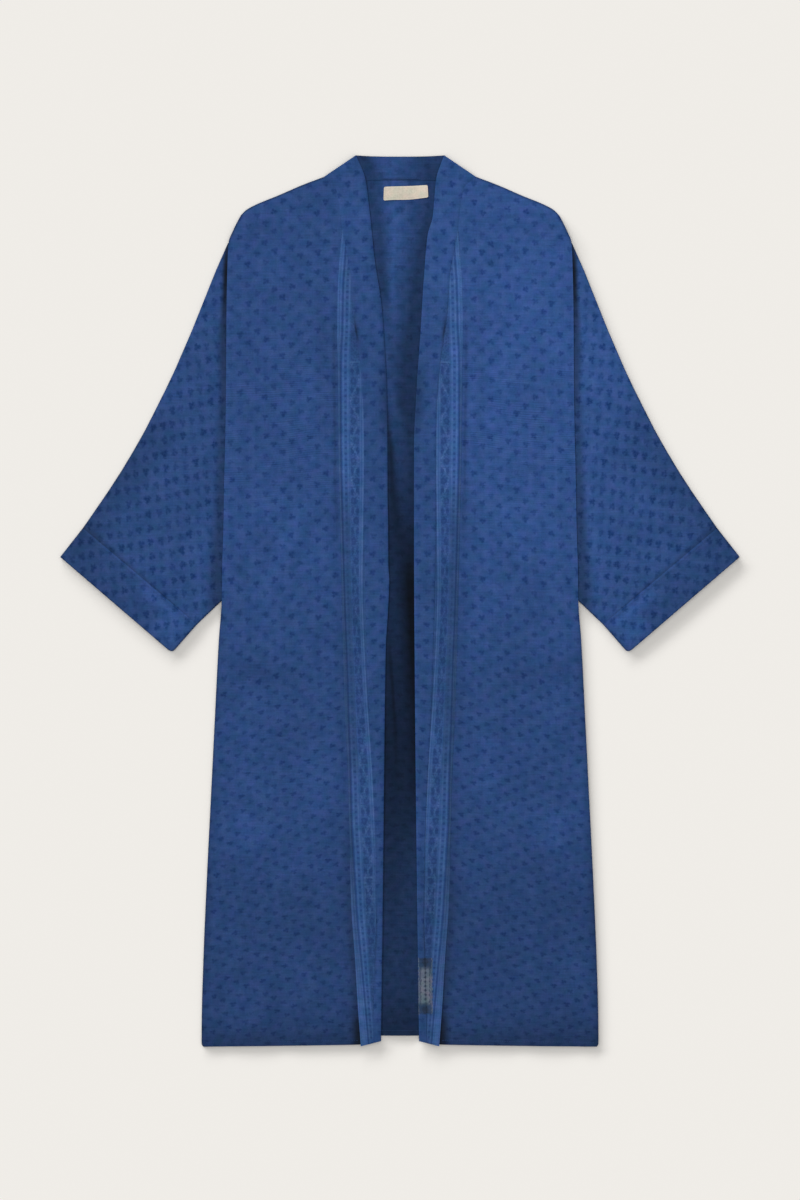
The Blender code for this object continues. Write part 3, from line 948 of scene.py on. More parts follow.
@dataclass(frozen=True)
class ClothFinish:
    """Colour, print and surface of one cloth."""

    name: str
    ground: Ground
    base: tuple[float, float, float]
    motif: tuple[float, float, float] = (0.0, 0.0, 0.0)
    pale: tuple[float, float, float] = (0.0, 0.0, 0.0)
    roughness: float = 0.62
    drift: float = 0.10
    mottle: float = 0.07
    sheen: float = 0.03
    specular: float = 0.10
    bump: float = 0.3
    drop: float = 0.42
    column: float = REPEAT_ACROSS
    repeat: float = REPEAT_DOWN
    threads: float = 1600.0
    slub: float = 1.0
    ribbed: float = 0.0
    block: bool = False
    stretch: float = 1.0

    def printed(self, n: NodeSketch, works: PrintWorks, place: bpy.types.NodeSocket) -> object:
        """Draws the cloth's colour with its print.

        Args:
            n: The sketch of the material's tree.
            works: The shared node groups.
            place: Object coordinates.

        Returns:
            The colour, or its socket.
        """
        at = n.node("ShaderNodeUVMap", uv_map="print").outputs["UV"]
        layers = []
        if self.ground is Ground.SPRIG:
            sprig = n.group(works.sprig, Place=at, Drop=self.drop, Column_width=self.column,
                            Repeat=self.repeat, Stretch=self.stretch)
            layers.append((sprig.outputs["Mask"], self.motif))
        elif self.ground is Ground.BORDER:
            border = n.group(works.border, Place=at)
            layers += [(border.outputs["Light"], self.pale), (border.outputs["Dark"], self.motif)]
        if self.block:
            block = n.group(works.block, Place=place)
            layers += [(block.outputs[name], ink) for name, ink in BLOCK_INKS.items()]
        colour: object = (*self.base, 1.0)
        for mask, ink in layers:
            colour = n.blend(mask, colour, (*ink, 1.0))
        return colour

    def material(self, works: PrintWorks) -> bpy.types.Material:
        """Builds the finish's material.

        Args:
            works: The shared node groups.

        Returns:
            The material.
        """
        made = bpy.data.materials.new(self.name)
        made.use_nodes = True
        n = NodeSketch(made.node_tree)
        shader = made.node_tree.nodes["Principled BSDF"]
        place = n.node("ShaderNodeTexCoord").outputs["Object"]
        shade = n.node("ShaderNodeAttribute", attribute_type="GEOMETRY", attribute_name="shade")
        weave = n.group(works.weave, Place=place, Threads_per_metre=self.threads, Slub=self.slub,
                        Ribbed=self.ribbed)
        worn = n.noise(place, WEAR_SCALE, 2.0)
        mottled = n.times(n.vary(n.noise(place, MOTTLE_SCALE, 3.0).outputs["Fac"], self.mottle),
                          n.vary(worn.outputs["Fac"], self.drift))
        # The tone takes the painted shade from the shade attribute and multiplies the printed colour
        tone = n.times(weave.outputs["Tone"], mottled, shade.outputs["Fac"])
        parts = [
            n.times(n.maths("POWER", tone, power), n.vary(part, amount * self.drift))
            for part, amount, power in zip(n.split(worn.outputs["Color"]), HUE_DRIFT, HUE_POWER)
        ]
        colour = n.blend(1.0, self.printed(n, works, place), n.join(*parts), "MULTIPLY")
        n.feed(shader.inputs["Base Color"], colour)
        rough, smooth = self.roughness + ROUGHNESS_SPREAD, self.roughness - ROUGHNESS_SPREAD
        n.feed(shader.inputs["Roughness"], n.range(weave.outputs["Height"], -0.5, 0.5, rough, smooth))
        bump = n.node("ShaderNodeBump")
        n.feed(bump.inputs["Height"], weave.outputs["Height"])
        n.feed(shader.inputs["Normal"], bump.outputs["Normal"])
        tint = (1.0, 1.0, 1.0) if self.ground is Ground.BARE else BLUE_SHEEN
        for node, socket, value in (
            (shader, "Sheen Weight", self.sheen), (shader, "Sheen Roughness", SHEEN_ROUGHNESS),
            (shader, "Sheen Tint", (*tint, 1.0)), (shader, "Specular IOR Level", self.specular),
            (bump, "Strength", self.bump), (bump, "Distance", WEAVE_DEPTH),
        ):
            node.inputs[socket].default_value = value
        return made


@dataclass(frozen=True)
class ThreadFinish:
    """Sewing thread of one colour."""

    name: str
    colour: tuple[float, float, float]
    plies: float = 900.0
    shaded: float = 0.7
    roughness: float = 0.5
    specular: float = 0.2

    def material(self) -> bpy.types.Material:
        """Builds a twisted, slightly shiny thread.

        Returns:
            The material.
        """
        made = bpy.data.materials.new(self.name)
        made.use_nodes = True
        n = NodeSketch(made.node_tree)
        shader = made.node_tree.nodes["Principled BSDF"]
        place = n.node("ShaderNodeTexCoord").outputs["Object"]
        ply = n.node("ShaderNodeTexWave", wave_type="BANDS", bands_direction="DIAGONAL")
        n.feed(ply.inputs["Vector"], place)
        ply.inputs["Scale"].default_value = self.plies
        dark = tuple(self.shaded * part for part in self.colour)
        n.feed(shader.inputs["Base Color"], n.blend(ply.outputs["Fac"], (*dark, 1.0), (*self.colour, 1.0)))
        shader.inputs["Roughness"].default_value = self.roughness
        shader.inputs["Specular IOR Level"].default_value = self.specular
        return made


BODY_CLOTH = ClothFinish("body_cloth", Ground.SPRIG, (0.0228, 0.0648, 0.2060), (0.0068, 0.0328, 0.1380),
                         ribbed=1.0)
SLEEVE_CLOTH = ClothFinish("sleeve_cloth", Ground.SPRIG, (0.0225, 0.0637, 0.1985), (0.0030, 0.0270, 0.1180),
                           drop=-0.14, column=13.5, repeat=19.0, stretch=1.3)
BAND_CLOTH = ClothFinish("band_cloth", Ground.SPRIG, (0.0235, 0.0685, 0.2150), (0.0062, 0.0340, 0.1460),
                         block=True)
INSIDE_CLOTH = ClothFinish("inside_cloth", Ground.SPRIG, (0.0243, 0.0665, 0.2050), (0.0155, 0.0455, 0.1500),
                           specular=0.06)
BORDER_CLOTH = ClothFinish("border_cloth", Ground.BORDER, (0.0264, 0.0765, 0.2260), (0.0140, 0.0460, 0.1620),
                           (0.0500, 0.1160, 0.2880), block=True)
LABEL_TAPE = ClothFinish("label_tape", Ground.BARE, (0.59, 0.540, 0.445), roughness=0.7, bump=0.25,
                         threads=2600.0, slub=0.3, drift=0.03)
BLUE_THREAD = ThreadFinish("blue_thread", (0.022, 0.062, 0.200))
CREAM_THREAD = ThreadFinish("cream_thread", (0.60, 0.52, 0.38))


@dataclass
class Dresser:
    """Gives each finished piece its material and hides the nodes that it stands for."""

    works: PrintWorks
    made: dict

    def material(self, finish: ClothFinish | ThreadFinish) -> bpy.types.Material:
        """The finish's material, built once.

        Args:
            finish: The finish of a cloth or a thread.

        Returns:
            The material.
        """
        if finish.name not in self.made:
            if isinstance(finish, ClothFinish):
                self.made[finish.name] = finish.material(self.works)
            else:
                self.made[finish.name] = finish.material()
        return self.made[finish.name]

    def dress(self, obj: bpy.types.Object, finish: ClothFinish, nodes: tuple) -> bpy.types.Object:
        """Dresses a piece, attaches it to the robe's body and hides the nodes that it stands for.

        Args:
            obj: The piece.
            finish: The cloth's finish.
            nodes: The nodes that it stands for.

        Returns:
            The same piece.
        """
        obj.data.materials.append(self.material(finish))
        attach(obj, "root")
        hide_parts(*nodes)
        LOG.info("%s: %d faces", obj.name, len(obj.data.polygons))
        return obj


class ClothPiece:
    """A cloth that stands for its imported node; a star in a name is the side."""

    part: ClassVar[str]
    finish: ClassVar[ClothFinish]
    slot: ClassVar[str] = "cloth"
    held: ClassVar[str] = "laid"
    ending: ClassVar[str] = "cloth"
    below: ClassVar[tuple] = ("back_panel",)

    def named(self, part: str) -> str:
        """A part's name on this side."""
        return part.replace("*", self.side.word) if "*" in part else part

    def press(self, obj: bpy.types.Object) -> None:
        """Presses the piece flat where it rests; most pieces need none of it."""

    def build(self, dresser: Dresser) -> bpy.types.Object:
        """Builds the piece and dresses it; its cut and its area are worked out but not kept.

        Args:
            dresser: Keeps the materials.

        Returns:
            The finished piece.
        """
        grid, node = self.grid(), self.named(self.part)
        obj = grid.mesh(f"{node}_{self.ending}")
        self.press(obj)
        dresser.dress(obj, self.finish, (node,))
        grid.cut()
        grid.area()
        return obj


@dataclass
class FrontPanel(ClothPiece):
    """One front panel, from the shoulder seam to the hem, hidden under the band at its inner edge."""

    part, finish = "front_*", BODY_CLOTH
    side: Side
    top_z: float = 2.3
    thickness: float = THICKNESS
    rise: float = 1.3
    side_roll: float = 0.3
    armhole_roll: float = 0.35
    armhole_top: tuple = (524.0, 500.0)
    armhole_foot: tuple = (-30.0, -6.0)
    hem_depth: float = 6.6
    hem_rise: float = 0.18
    hem_roll: float = 0.35
    armhole_ramp: tuple = (42.0, 19.0)
    clear_of_strip: tuple = (3.0, 28.0)
    clear_of_edge: tuple = (2.0, 24.0)
    clear_of_shoulder: tuple = (0.0, 18.0)
    shoulder_roll: float = 0.8
    # Depths of painted shade: low beside the strip, in the wedge by the strip at the hem, along the outer
    # edge and along the shoulder seam
    low_depth: float = 0.20
    lowest_depth: float = 0.08
    low_reach: float = 12.0
    wedge_depth: float = 0.68
    rim_depth: float = 0.12
    rim_more: float = 0.14
    seam_depth: float = 0.50
    # Painted shade lines: grooves beside the strip, then lines along the outer edge
    grooves: tuple = table(
        Shadow,
        (0.10, 9, 3, ((460, 330),)), (0.17, 2.2, 4.6, ((430, 330), (60, 130))),
        (0.14, 3.5, 3, ((-400, -440),)),
    )
    edge_lines: tuple = table(
        Shadow,
        (0.50, 2.6, 0, ((470, 490),)), (0.30, 1.7, 0, ((4, -16),)),
    )
    creases: tuple = bent(
        (112, 140, 178, 18, 15, 1.1, 6), (134, 128, 200, 18, 11, -0.5, 4),
        (176, 130, 226, 50, 12, 0.8, -5), (112, 372, 105, 206, 20, 1.2, 5),
        (150, 330, 215, 250, 18, 0.7, 8), (182, 440, 158, 300, 18, 0.7, -6),
        (205, 220, 196, 110, 15, -0.7, 5), (95, -98, 240, -110, 17, -1.1, 5),
        (112, -160, 238, -170, 19, 1.5, -4), (92, -214, 236, -208, 15, -1, 4),
        (104, -250, 94, -330, 13, 0.9, 3), (140, -288, 215, -345, 19, 1.5, 4),
        (128, -330, 180, -392, 14, -1, -3), (126, -420, 116, -560, 17, 0.8, 7),
        (198, -585, 186, -440, 17, 1.3, -6), (160, -600, 152, -470, 13, -0.9, 5),
        (236, -600, 228, -460, 11, -0.8, 3),
    )
    # Painted streaks of light and shade beside the creases
    fades: tuple = bent(
        (107, 430, 106, 190, 8, -0.10), (135, 128, 152, 84, 8, 0.07), (156, 100, 170, 34, 8, 0.07),
        (112, 100, 122, 40, 8, 0.06), (208, 112, 200, 38, 11, 0.07), (232, -84, 128, -114, 14, -0.08),
        (230, -168, 172, -182, 14, 0.06), (120, -176, 117, -288, 14, 0.09),
        (200, -224, 150, -238, 14, -0.05), (214, -280, 208, -338, 14, 0.12),
        (228, -440, 224, -500, 13, 0.07), (136, -436, 132, -480, 14, 0.05),
        (200, 500, 120, 515, 20, -0.04), (222, 480, 190, 520, 26, -0.08),
    )
    # Painted shade by height: darker towards the hem
    tones: tuple = table(
        Tone,
        (600, 0.99), (460, 1), (100, 1.02), (20, 0.99), (-66, 0.94), (-134, 0.90), (-220, 0.91),
        (-300, 0.92), (-356, 0.87), (-395, 0.775), (-440, 0.76), (-512, 0.77), (-552, 0.735),
        (-575, 0.66), (-590, 0.55), (-601.5, 0.50),
    )

    def outer(self, y: np.ndarray) -> np.ndarray:
        """The panel's outer edge at a height."""
        return through(BODY_EDGE, y)

    def top(self, x: np.ndarray, y: np.ndarray) -> np.ndarray:
        """Height of the panel's upper face.

        Args:
            x: Distance out from the middle line.
            y: Height along the robe.

        Returns:
            The height at each point.
        """
        from_edge = np.maximum(self.outer(y) - x, 0.0)
        from_strip = x - through(STRIP_EDGE, y)
        shoulder = below_shoulder(x, y)
        hem = np.maximum(y - through(HEM, x, "y", key="x"), 0.0)
        armhole = ease(*self.armhole_top, y) * ease(*self.armhole_foot, y)
        z = self.top_z + self.rise * armhole * ease(*self.armhole_ramp, from_edge)
        free = ease(*self.clear_of_strip, from_strip) * ease(*self.clear_of_edge, from_edge)
        free = free * ease(*self.clear_of_shoulder, shoulder)
        z = z + relief(self.creases, x, y) * free
        z = z - hill(from_edge, 3.4) * (self.side_roll * (1 - armhole) + self.armhole_roll * armhole)
        z = z - self.shoulder_roll * hill(shoulder, 3.0) * ease(96.0, 112.0, x)
        doubled = self.hem_rise * ease(self.hem_depth + 1.2, self.hem_depth - 0.6, hem)
        return z + doubled - self.hem_roll * hill(hem, 1.6)

    def shade(self, x: np.ndarray, y: np.ndarray) -> np.ndarray:
        """Share of full colour, as painted shade and light: darker towards the hem, in the fold beside the
        strip, along the edges and the shoulder seam, with painted streaks of light and shade.

        Args:
            x: Distance out from the middle line.
            y: Height along the robe.

        Returns:
            The share at each point.
        """
        from_edge = self.outer(y) - x
        beside = x - through(STRIP_EDGE, y)
        groove = sum(shadows(self.grooves, beside, y))
        low = (self.low_depth + self.lowest_depth * ease(-500.0, -560.0, y)) * ease(-250.0, -320.0, y)
        low = low * np.exp(-np.maximum(beside, 0) / self.low_reach)
        wedge = self.wedge_depth * ease(15.0, 2.0, beside) * ease(-545.0, -580.0, y)
        rim = self.rim_depth + self.rim_more * hill(y, 90.0, -420.0)
        rim = rim * ease(14.0, 0.0, from_edge) * ease(20.0, -60.0, y)
        shoulder_line = self.seam_depth * hill(below_shoulder(x, y), 2.4) * ease(96.0, 104.0, x)
        drawn = reduce(np.maximum, shadows(self.edge_lines, from_edge, y), shoulder_line)
        painted_tone = through(self.tones, y) * (1 + relief(self.fades, x, y)) * (1 - drawn)
        return painted_tone * (1 - groove) * (1 - low) * (1 - wedge) * (1 - rim)

    def grid(self) -> ClothGrid:
        """The panel as a grid of points, closer together at its edges.

        Returns:
            The panel's cloth.
        """
        v = paced((0.0, 0.005, 5), (0.005, 0.014, 4), (0.014, 0.985, 230), (0.985, 1.0, 14))[:, None]
        u = paced((0.0, 0.1, 5), (0.1, 0.94, 56), (0.94, 1.0, 12))[None, :]
        inner_x = through(FRONT_INNER, between(FRONT_INNER[0].y, FRONT_INNER[-1].y, v))
        x = between(inner_x, self.outer(between(TOP_Y, FOOT_Y, v)), u)
        y = through(SHOULDER, x, "y", key="x") * (1 - v) + through(HEM, x, "y", key="x") * v
        points = np.stack([self.side.value * x, y, self.top(x, y)], axis=2)
        return ClothGrid(points, body_print(x, y), self.shade(x, y), self.thickness, outward=-self.side.value)


@dataclass(frozen=True)
class OpeningLight:
    """How the light falls off inside the opening: quickly by the left band, slowly towards the right."""

    left: tuple = table(
        Fall,
        (600, 0.52, 17), (583, 0.46, 19), (570, 0.42, 20), (533, 0.44, 17), (515, 0.46, 19),
        (494, 0.46, 18), (464, 0.48, 15.5), (427, 0.50, 10.5), (386, 0.27, 9), (346, 0.15, 9),
        (300, 0.05, 8), (250, 0, 6), (-270, 0, 24), (-330, 0.12, 26), (-375, 0.26, 26), (-430, 0.12, 20),
        (-500, 0.06, 10), (-600, 0, 6),
    )
    right: tuple = table(
        Slope,
        (600, -5, 26, 0.44), (583, -12, 38, 0.54), (560, -12, 40, 0.50), (533, -10, 38, 0.53),
        (515, -2, 36, 0.58), (494, -6, 32, 0.62), (464, -8, 27, 0.61), (427, -12, 20, 0.59),
        (386, -14, 15, 0.59), (346, -18, 8, 0.56), (305, -15, 6, 0.51), (269, -10, 3, 0.48),
        (238, -3, 10, 0.43), (215, -2, 12, 0.34), (184, 0, 16, 0.29), (136, 3, 16, 0.13),
        (82, -2, 14, 0.26), (28, -7, 11, 0.78), (-32, -4, 14, 0.84), (-100, 1, 17, 0.74),
        (-167, 6, 20, 0.54), (-235, 10, 20, 0.24), (-300, 10, 20, 0), (-600, 10, 20, 0),
    )
    folds: tuple = (
        table(
            Furrow,
            (270, -17, 3, 0), (228, -15.5, 3.5, 0.45), (204, -12.5, 5, 0.62), (170, -11.5, 5.8, 0.58),
            (136, -8.5, 7.5, 0.44), (103, -3.5, 9, 0.32), (69, 4, 10, 0.18), (30, 9, 10, 0),
        ),
        table(
            Furrow,
            (-50, -14.5, 2, 0), (-80, -13, 2, 0.32), (-120, -9.8, 2.1, 0.42), (-150, -8, 2.4, 0.36),
            (-185, -6, 2.8, 0.26), (-230, -5, 3.2, 0.1), (-260, -5, 4, 0),
        ),
    )

    def share(self, x: np.ndarray, y: np.ndarray) -> np.ndarray:
        """Share of the light that reaches a place on the robe's inside.

        Args:
            x: Signed distance from the middle line.
            y: Height along the robe.

        Returns:
            The share at each point.
        """
        beside = x + through(OPENING_LEFT, y) - 4.0
        depth, reach = through(self.left, y, "depth"), through(self.left, y, "reach")
        kept = 1 - depth * np.exp(-((np.maximum(beside, 0) / reach) ** 3))
        start, end, deep = (through(self.right, y, name) for name in ("start", "end", "depth"))
        kept = kept * (1 - deep * np.clip((x - start) / (end - start), 0.0, 1.0))
        for fold in self.folds:
            kept = kept * furrow(fold, x, y)
        return kept


@dataclass
class BackPanel(ClothPiece):
    """The back panel, flat on the surface; its inside shows between the bands."""

    part, finish, slot, below = "back_panel", INSIDE_CLOTH, "cloth_inside", ()
    thickness: float = 0.9
    top_z: float = 1.0
    neck_end: float = 100.8
    hem_middle: float = -586.6
    armhole_gap: float = 0.8
    creases: tuple = bent(
        (-8, 480, -4, 250, 6, 0.5, 2), (-24, 520, 20, 516, 4, 0.35, 1), (-30, 562, -24, 540, 4, 0.4, 1),
        (-2, -420, 4, -590, 9, 0.3, -2), (-17, -589, 17, -589, 7, 0.8),
    )
    # Painted shade inside the robe by height: lighter below the neck, deep down the opening
    tones: tuple = table(
        Tone,
        (600, 1.02), (560, 1.06), (500, 1.10), (430, 1.09), (385, 1.01), (345, 0.925), (305, 0.79),
        (270, 0.69), (215, 0.58), (185, 0.51), (135, 0.345), (82, 0.262), (28, 0.286), (-32, 0.27),
        (-100, 0.225), (-167, 0.19), (-235, 0.188), (-300, 0.255), (-370, 0.41), (-438, 0.432),
        (-512, 0.40), (-560, 0.314), (-580, 0.272),
    )

    def outer(self, y: np.ndarray) -> np.ndarray:
        """The panel's outer edge, drawn in where the sleeve meets it.

        Args:
            y: Height along the robe.

        Returns:
            The edge's distance out.
        """
        full = through(BODY_EDGE, y)
        down = np.clip((TUCK_TOP.y - y) / (TUCK_TOP.y - TUCK_FOOT.y), 0, 1)
        tuck = between(TUCK_TOP.x, TUCK_FOOT.x, down) - self.armhole_gap
        return between(full, np.minimum(full, tuck), ease(490.0, 484.0, y) * ease(-2.0, 9.0, y))

    def neck(self, x: np.ndarray) -> np.ndarray:
        """The panel's upper edge: the neck seam in the middle, then the shoulders.

        Args:
            x: Signed distance from the middle line.

        Returns:
            The edge's height.
        """
        x = np.abs(x)
        shoulder = through(SHOULDER, np.maximum(x, self.neck_end + 2.0), "y", key="x")
        return np.where(x < self.neck_end, BACK_NECK_Y, shoulder)

    def hem(self, x: np.ndarray) -> np.ndarray:
        """The panel's lower edge, a little higher in the middle than at the sides."""
        return between(self.hem_middle, FOOT_Y, ease(40.0, 265.0, np.abs(x)))

    def shade(self, x: np.ndarray, y: np.ndarray) -> np.ndarray:
        """Share of full colour inside the robe, as painted light and shade: lighter below the neck, darker
        down the opening.
        """
        return through(self.tones, y) * OpeningLight().share(x, y)

    def grid(self) -> ClothGrid:
        """The panel as a grid of points, closer together where it shows.

        Returns:
            The panel's cloth.
        """
        v = paced((0.0, 0.01, 4), (0.01, 0.99, 240), (0.99, 1.0, 6))[:, None]
        half = paced((0.0, 0.3, 48), (0.3, 1.0, 20))
        u = np.concatenate([-half[:0:-1], half])[None, :]
        x = self.outer(between(TOP_Y, FOOT_Y, v)) * u
        y = self.neck(x) * (1 - v) + self.hem(x) * v
        z = self.top_z + relief(self.creases, x, y)
        prints = body_print(np.abs(x) + INSIDE_SHIFT, y)
        return ClothGrid(np.stack([x, y, z], axis=2), prints, self.shade(x, y), self.thickness, outward=-1.0)

    def press(self, obj: bpy.types.Object) -> None:
        """Lays the underside flat on the surface."""
        corners = obj.data.vertices
        for vertex in corners[len(corners) // 2:]:
            vertex.co.z = 0.0


@dataclass
class Sleeve(ClothPiece):
    """One sleeve: a wide tapering tube, flat on the surface, tucked under the front's edge."""

    part, finish = "sleeve_*", SLEEVE_CLOTH
    side: Side
    rings: int = 90
    across: int = 72
    floor_z: float = 0.1
    thickness: float = THICKNESS
    top_z: float = 2.3
    loft: float = 2.0
    fold_radius: float = 2.4
    print_slant: float = 0.07
    ease_in_width: float = 1.01
    creases: tuple = bent(
        (240, 300, 300, 262, 18, 0.8, 6), (262, 250, 336, 196, 16, -0.8, -6),
        (256, 150, 330, 105, 20, 1, 5), (300, 120, 380, 150, 13, -0.6, 6),
        (262, 60, 330, 20, 15, 0.8, -4), (350, 130, 400, 60, 14, 0.7, 5), (252, 400, 246, 250, 9, 0.5, 2),
        (286, -10, 300, 40, 9, -0.5, 2),
    )
    # Painted shade along the outer fold and a painted lighter streak near the armhole
    fades: tuple = bent(
        (330, 268, 456, 66, 44, -0.28), (270, 130, 264, 10, 20, 0.07),
    )
    # Painted shade in the fold beside the front's edge: depth and reach by height
    groove: tuple = table(
        Fall,
        (480, 0.72, 8), (440, 0.92, 9), (420, 0.84, 9), (386, 0.62, 12), (340, 0.50, 15.5),
        (285, 0.44, 12.5), (231, 0.33, 17), (170, 0.38, 16), (102, 0.42, 20), (28, 0.44, 26),
        (0, 0.44, 26),
    )

    @staticmethod
    def line(share: np.ndarray) -> tuple[np.ndarray, np.ndarray]:
        """Ends of a line across the sleeve, from the armhole (0) to the cuff seam (1).

        Args:
            share: How far along the sleeve each line lies.

        Returns:
            The end on the upper fold and the one on the lower.
        """
        fold = np.array([(row.x, row.y) for row in SLEEVE_FOLD])
        lengths = np.concatenate([[0.0], np.cumsum(np.linalg.norm(np.diff(fold, axis=0), axis=1))])
        at = np.clip(share, 0, 1) * lengths[-1]
        top = np.stack([np.interp(at, lengths, fold[:, 0]), np.interp(at, lengths, fold[:, 1])], axis=-1)
        return top, between(UNDERARM, CUFF_SEAM_FOOT, np.asarray(share)[..., None])

    def round_off(self, along: np.ndarray, length: np.ndarray) -> np.ndarray:
        """Share of the full height near the two folds of the tube."""
        near = np.clip(np.minimum(along, length - along) / self.fold_radius, 0.0, 1.0)
        return np.sqrt(np.maximum(1 - (1 - near) ** 2, 0.0))

    def swell(self, x: np.ndarray, y: np.ndarray, along: np.ndarray, length: np.ndarray) -> np.ndarray:
        """Height of the upper layer above the flat tube.

        Args:
            x: Distance out from the middle line.
            y: Height along the robe.
            along: Distance from the upper fold.
            length: Distance from the upper fold to the lower.

        Returns:
            The height at each point.
        """
        free = ease(-2.0, 30.0, x - through(BODY_EDGE, y))
        dome = np.sin(np.pi * np.clip(along / length, 0, 1)) ** 0.8
        waves = relief(self.creases, x, y) * ease(0.0, 20.0, np.minimum(along, length - along))
        return free * (self.loft * dome + waves)

    def shade(self, x: np.ndarray, y: np.ndarray) -> np.ndarray:
        """Share of full colour, as painted shade: dark in the fold beside the front's edge, darkest at its
        top, with painted streaks of light and shade.

        Args:
            x: Distance out from the middle line.
            y: Height along the robe.

        Returns:
            The share at each point.
        """
        edge_y = np.clip(y, 0.0, 480.0)
        beside = x - through(BODY_EDGE, edge_y)
        reach = through(self.groove, y, "reach")
        near = np.clip((reach - beside) / (0.75 * reach), 0.0, 1.0)
        soft = through(self.groove, y, "depth") * near * near * (3 - 2 * near)
        return (1 + relief(self.fades, x, y)) * (1 - soft)

    def loop(self, top: np.ndarray, foot: np.ndarray) -> tuple[np.ndarray, np.ndarray, np.ndarray]:
        """Places round the flattened tube: points, distance from its fold, and which layer.

        Args:
            top: Points of the upper fold, one for each ring.
            foot: Points of the lower fold.

        Returns:
            The points, their distances from the upper fold, and 1 on the upper layer or 0 below.
        """
        length = np.linalg.norm(foot - top, axis=1)[:, None]
        step = spread(0.0, 1.0, self.across)[None, :]
        rounded = 0.5 - 0.5 * np.cos(math.pi * step)
        spots = length * (0.15 * step + 0.85 * rounded)
        along = np.concatenate([spots, spots[:, ::-1][:, 1:-1]], axis=1)
        upper = np.concatenate([np.ones(self.across), np.zeros(self.across - 2)])[None, :]
        points = between(top[:, None, :], foot[:, None, :], (along / length)[..., None])
        return points, along, upper * np.ones_like(along)

    def tube(self, top: np.ndarray, foot: np.ndarray, top_z: float, lap: float = 0.0) -> ClothGrid:
        """A flattened tube between the two lines that its folds follow.

        Args:
            top: Points of the upper fold, one for each ring.
            foot: Points of the lower fold.
            top_z: Height of the upper layer before it swells.
            lap: How far the first ring's upper layer reaches back over what it is sewn to.

        Returns:
            The tube's cloth.
        """
        flat, along, upper = self.loop(top, foot)
        length = np.linalg.norm(foot - top, axis=1)[:, None]
        height = self.round_off(along, length)
        back = (flat[0] - flat[1]) / np.linalg.norm(flat[0] - flat[1], axis=1, keepdims=True)
        flat[0] += back * lap * (upper[0] * height[0])[:, None]
        x, y = flat[..., 0], flat[..., 1]
        middle = 0.5 * (self.floor_z + self.thickness + top_z)
        over = between(middle, top_z + self.swell(x, y, along, length), height)
        z = np.where(upper > 0.5, over, between(middle, self.floor_z, height))
        slanted = (x - self.print_slant * y) / SLEEVE_CLOTH.column
        prints = np.stack([slanted, -y / SLEEVE_CLOTH.repeat], axis=2)
        points = np.stack([self.side.value * x, y, z], axis=2)
        # Painted shade along the two folds of the tube
        drawn = 1 - 0.36 * hill(np.minimum(along, length - along), 1.9)
        return ClothGrid(points, prints, self.shade(x, y) * drawn, self.thickness, wraps=True,
                         outward=self.side.value, unfolded=self.unfold(top, foot))

    @staticmethod
    def unfold(top: np.ndarray, foot: np.ndarray) -> tuple[float, float]:
        """Width and length of the tube's cloth, slit along its foot and opened about its top fold.

        Args:
            top: Points of the upper fold, one for each ring.
            foot: Points of the lower fold.

        Returns:
            The width and the length, in millimetres.
        """
        fold = (top[-1] - top[0]) / np.linalg.norm(top[-1] - top[0])
        out = foot - top[0]
        aside = np.abs(out[:, 0] * fold[1] - out[:, 1] * fold[0]).max()
        ends = np.concatenate([out @ fold, (top - top[0]) @ fold])
        return 2 * Sleeve.ease_in_width * float(aside), Sleeve.ease_in_width * float(np.ptp(ends))

    def grid(self) -> ClothGrid:
        """The sleeve as a grid of rings, from the end tucked under the front to the cuff seam.

        Returns:
            The sleeve's cloth.
        """
        top, foot = self.line(paced((0.0, 0.09, 18), (0.09, 1.0, self.rings)))
        hidden = spread(0.0, 1.0, 8)[:-1, None]
        top = np.concatenate([between(TUCK_TOP, top[0], hidden), top])
        foot = np.concatenate([between(TUCK_FOOT, foot[0], hidden), foot])
        grid = self.tube(top, foot, self.top_z)
        # Painted shade in the cuff seam, on the sleeve's side
        for ring, kept in ((-1, 0.64), (-2, 0.76), (-3, 0.93)):
            grid.shade[ring] *= kept
        return grid


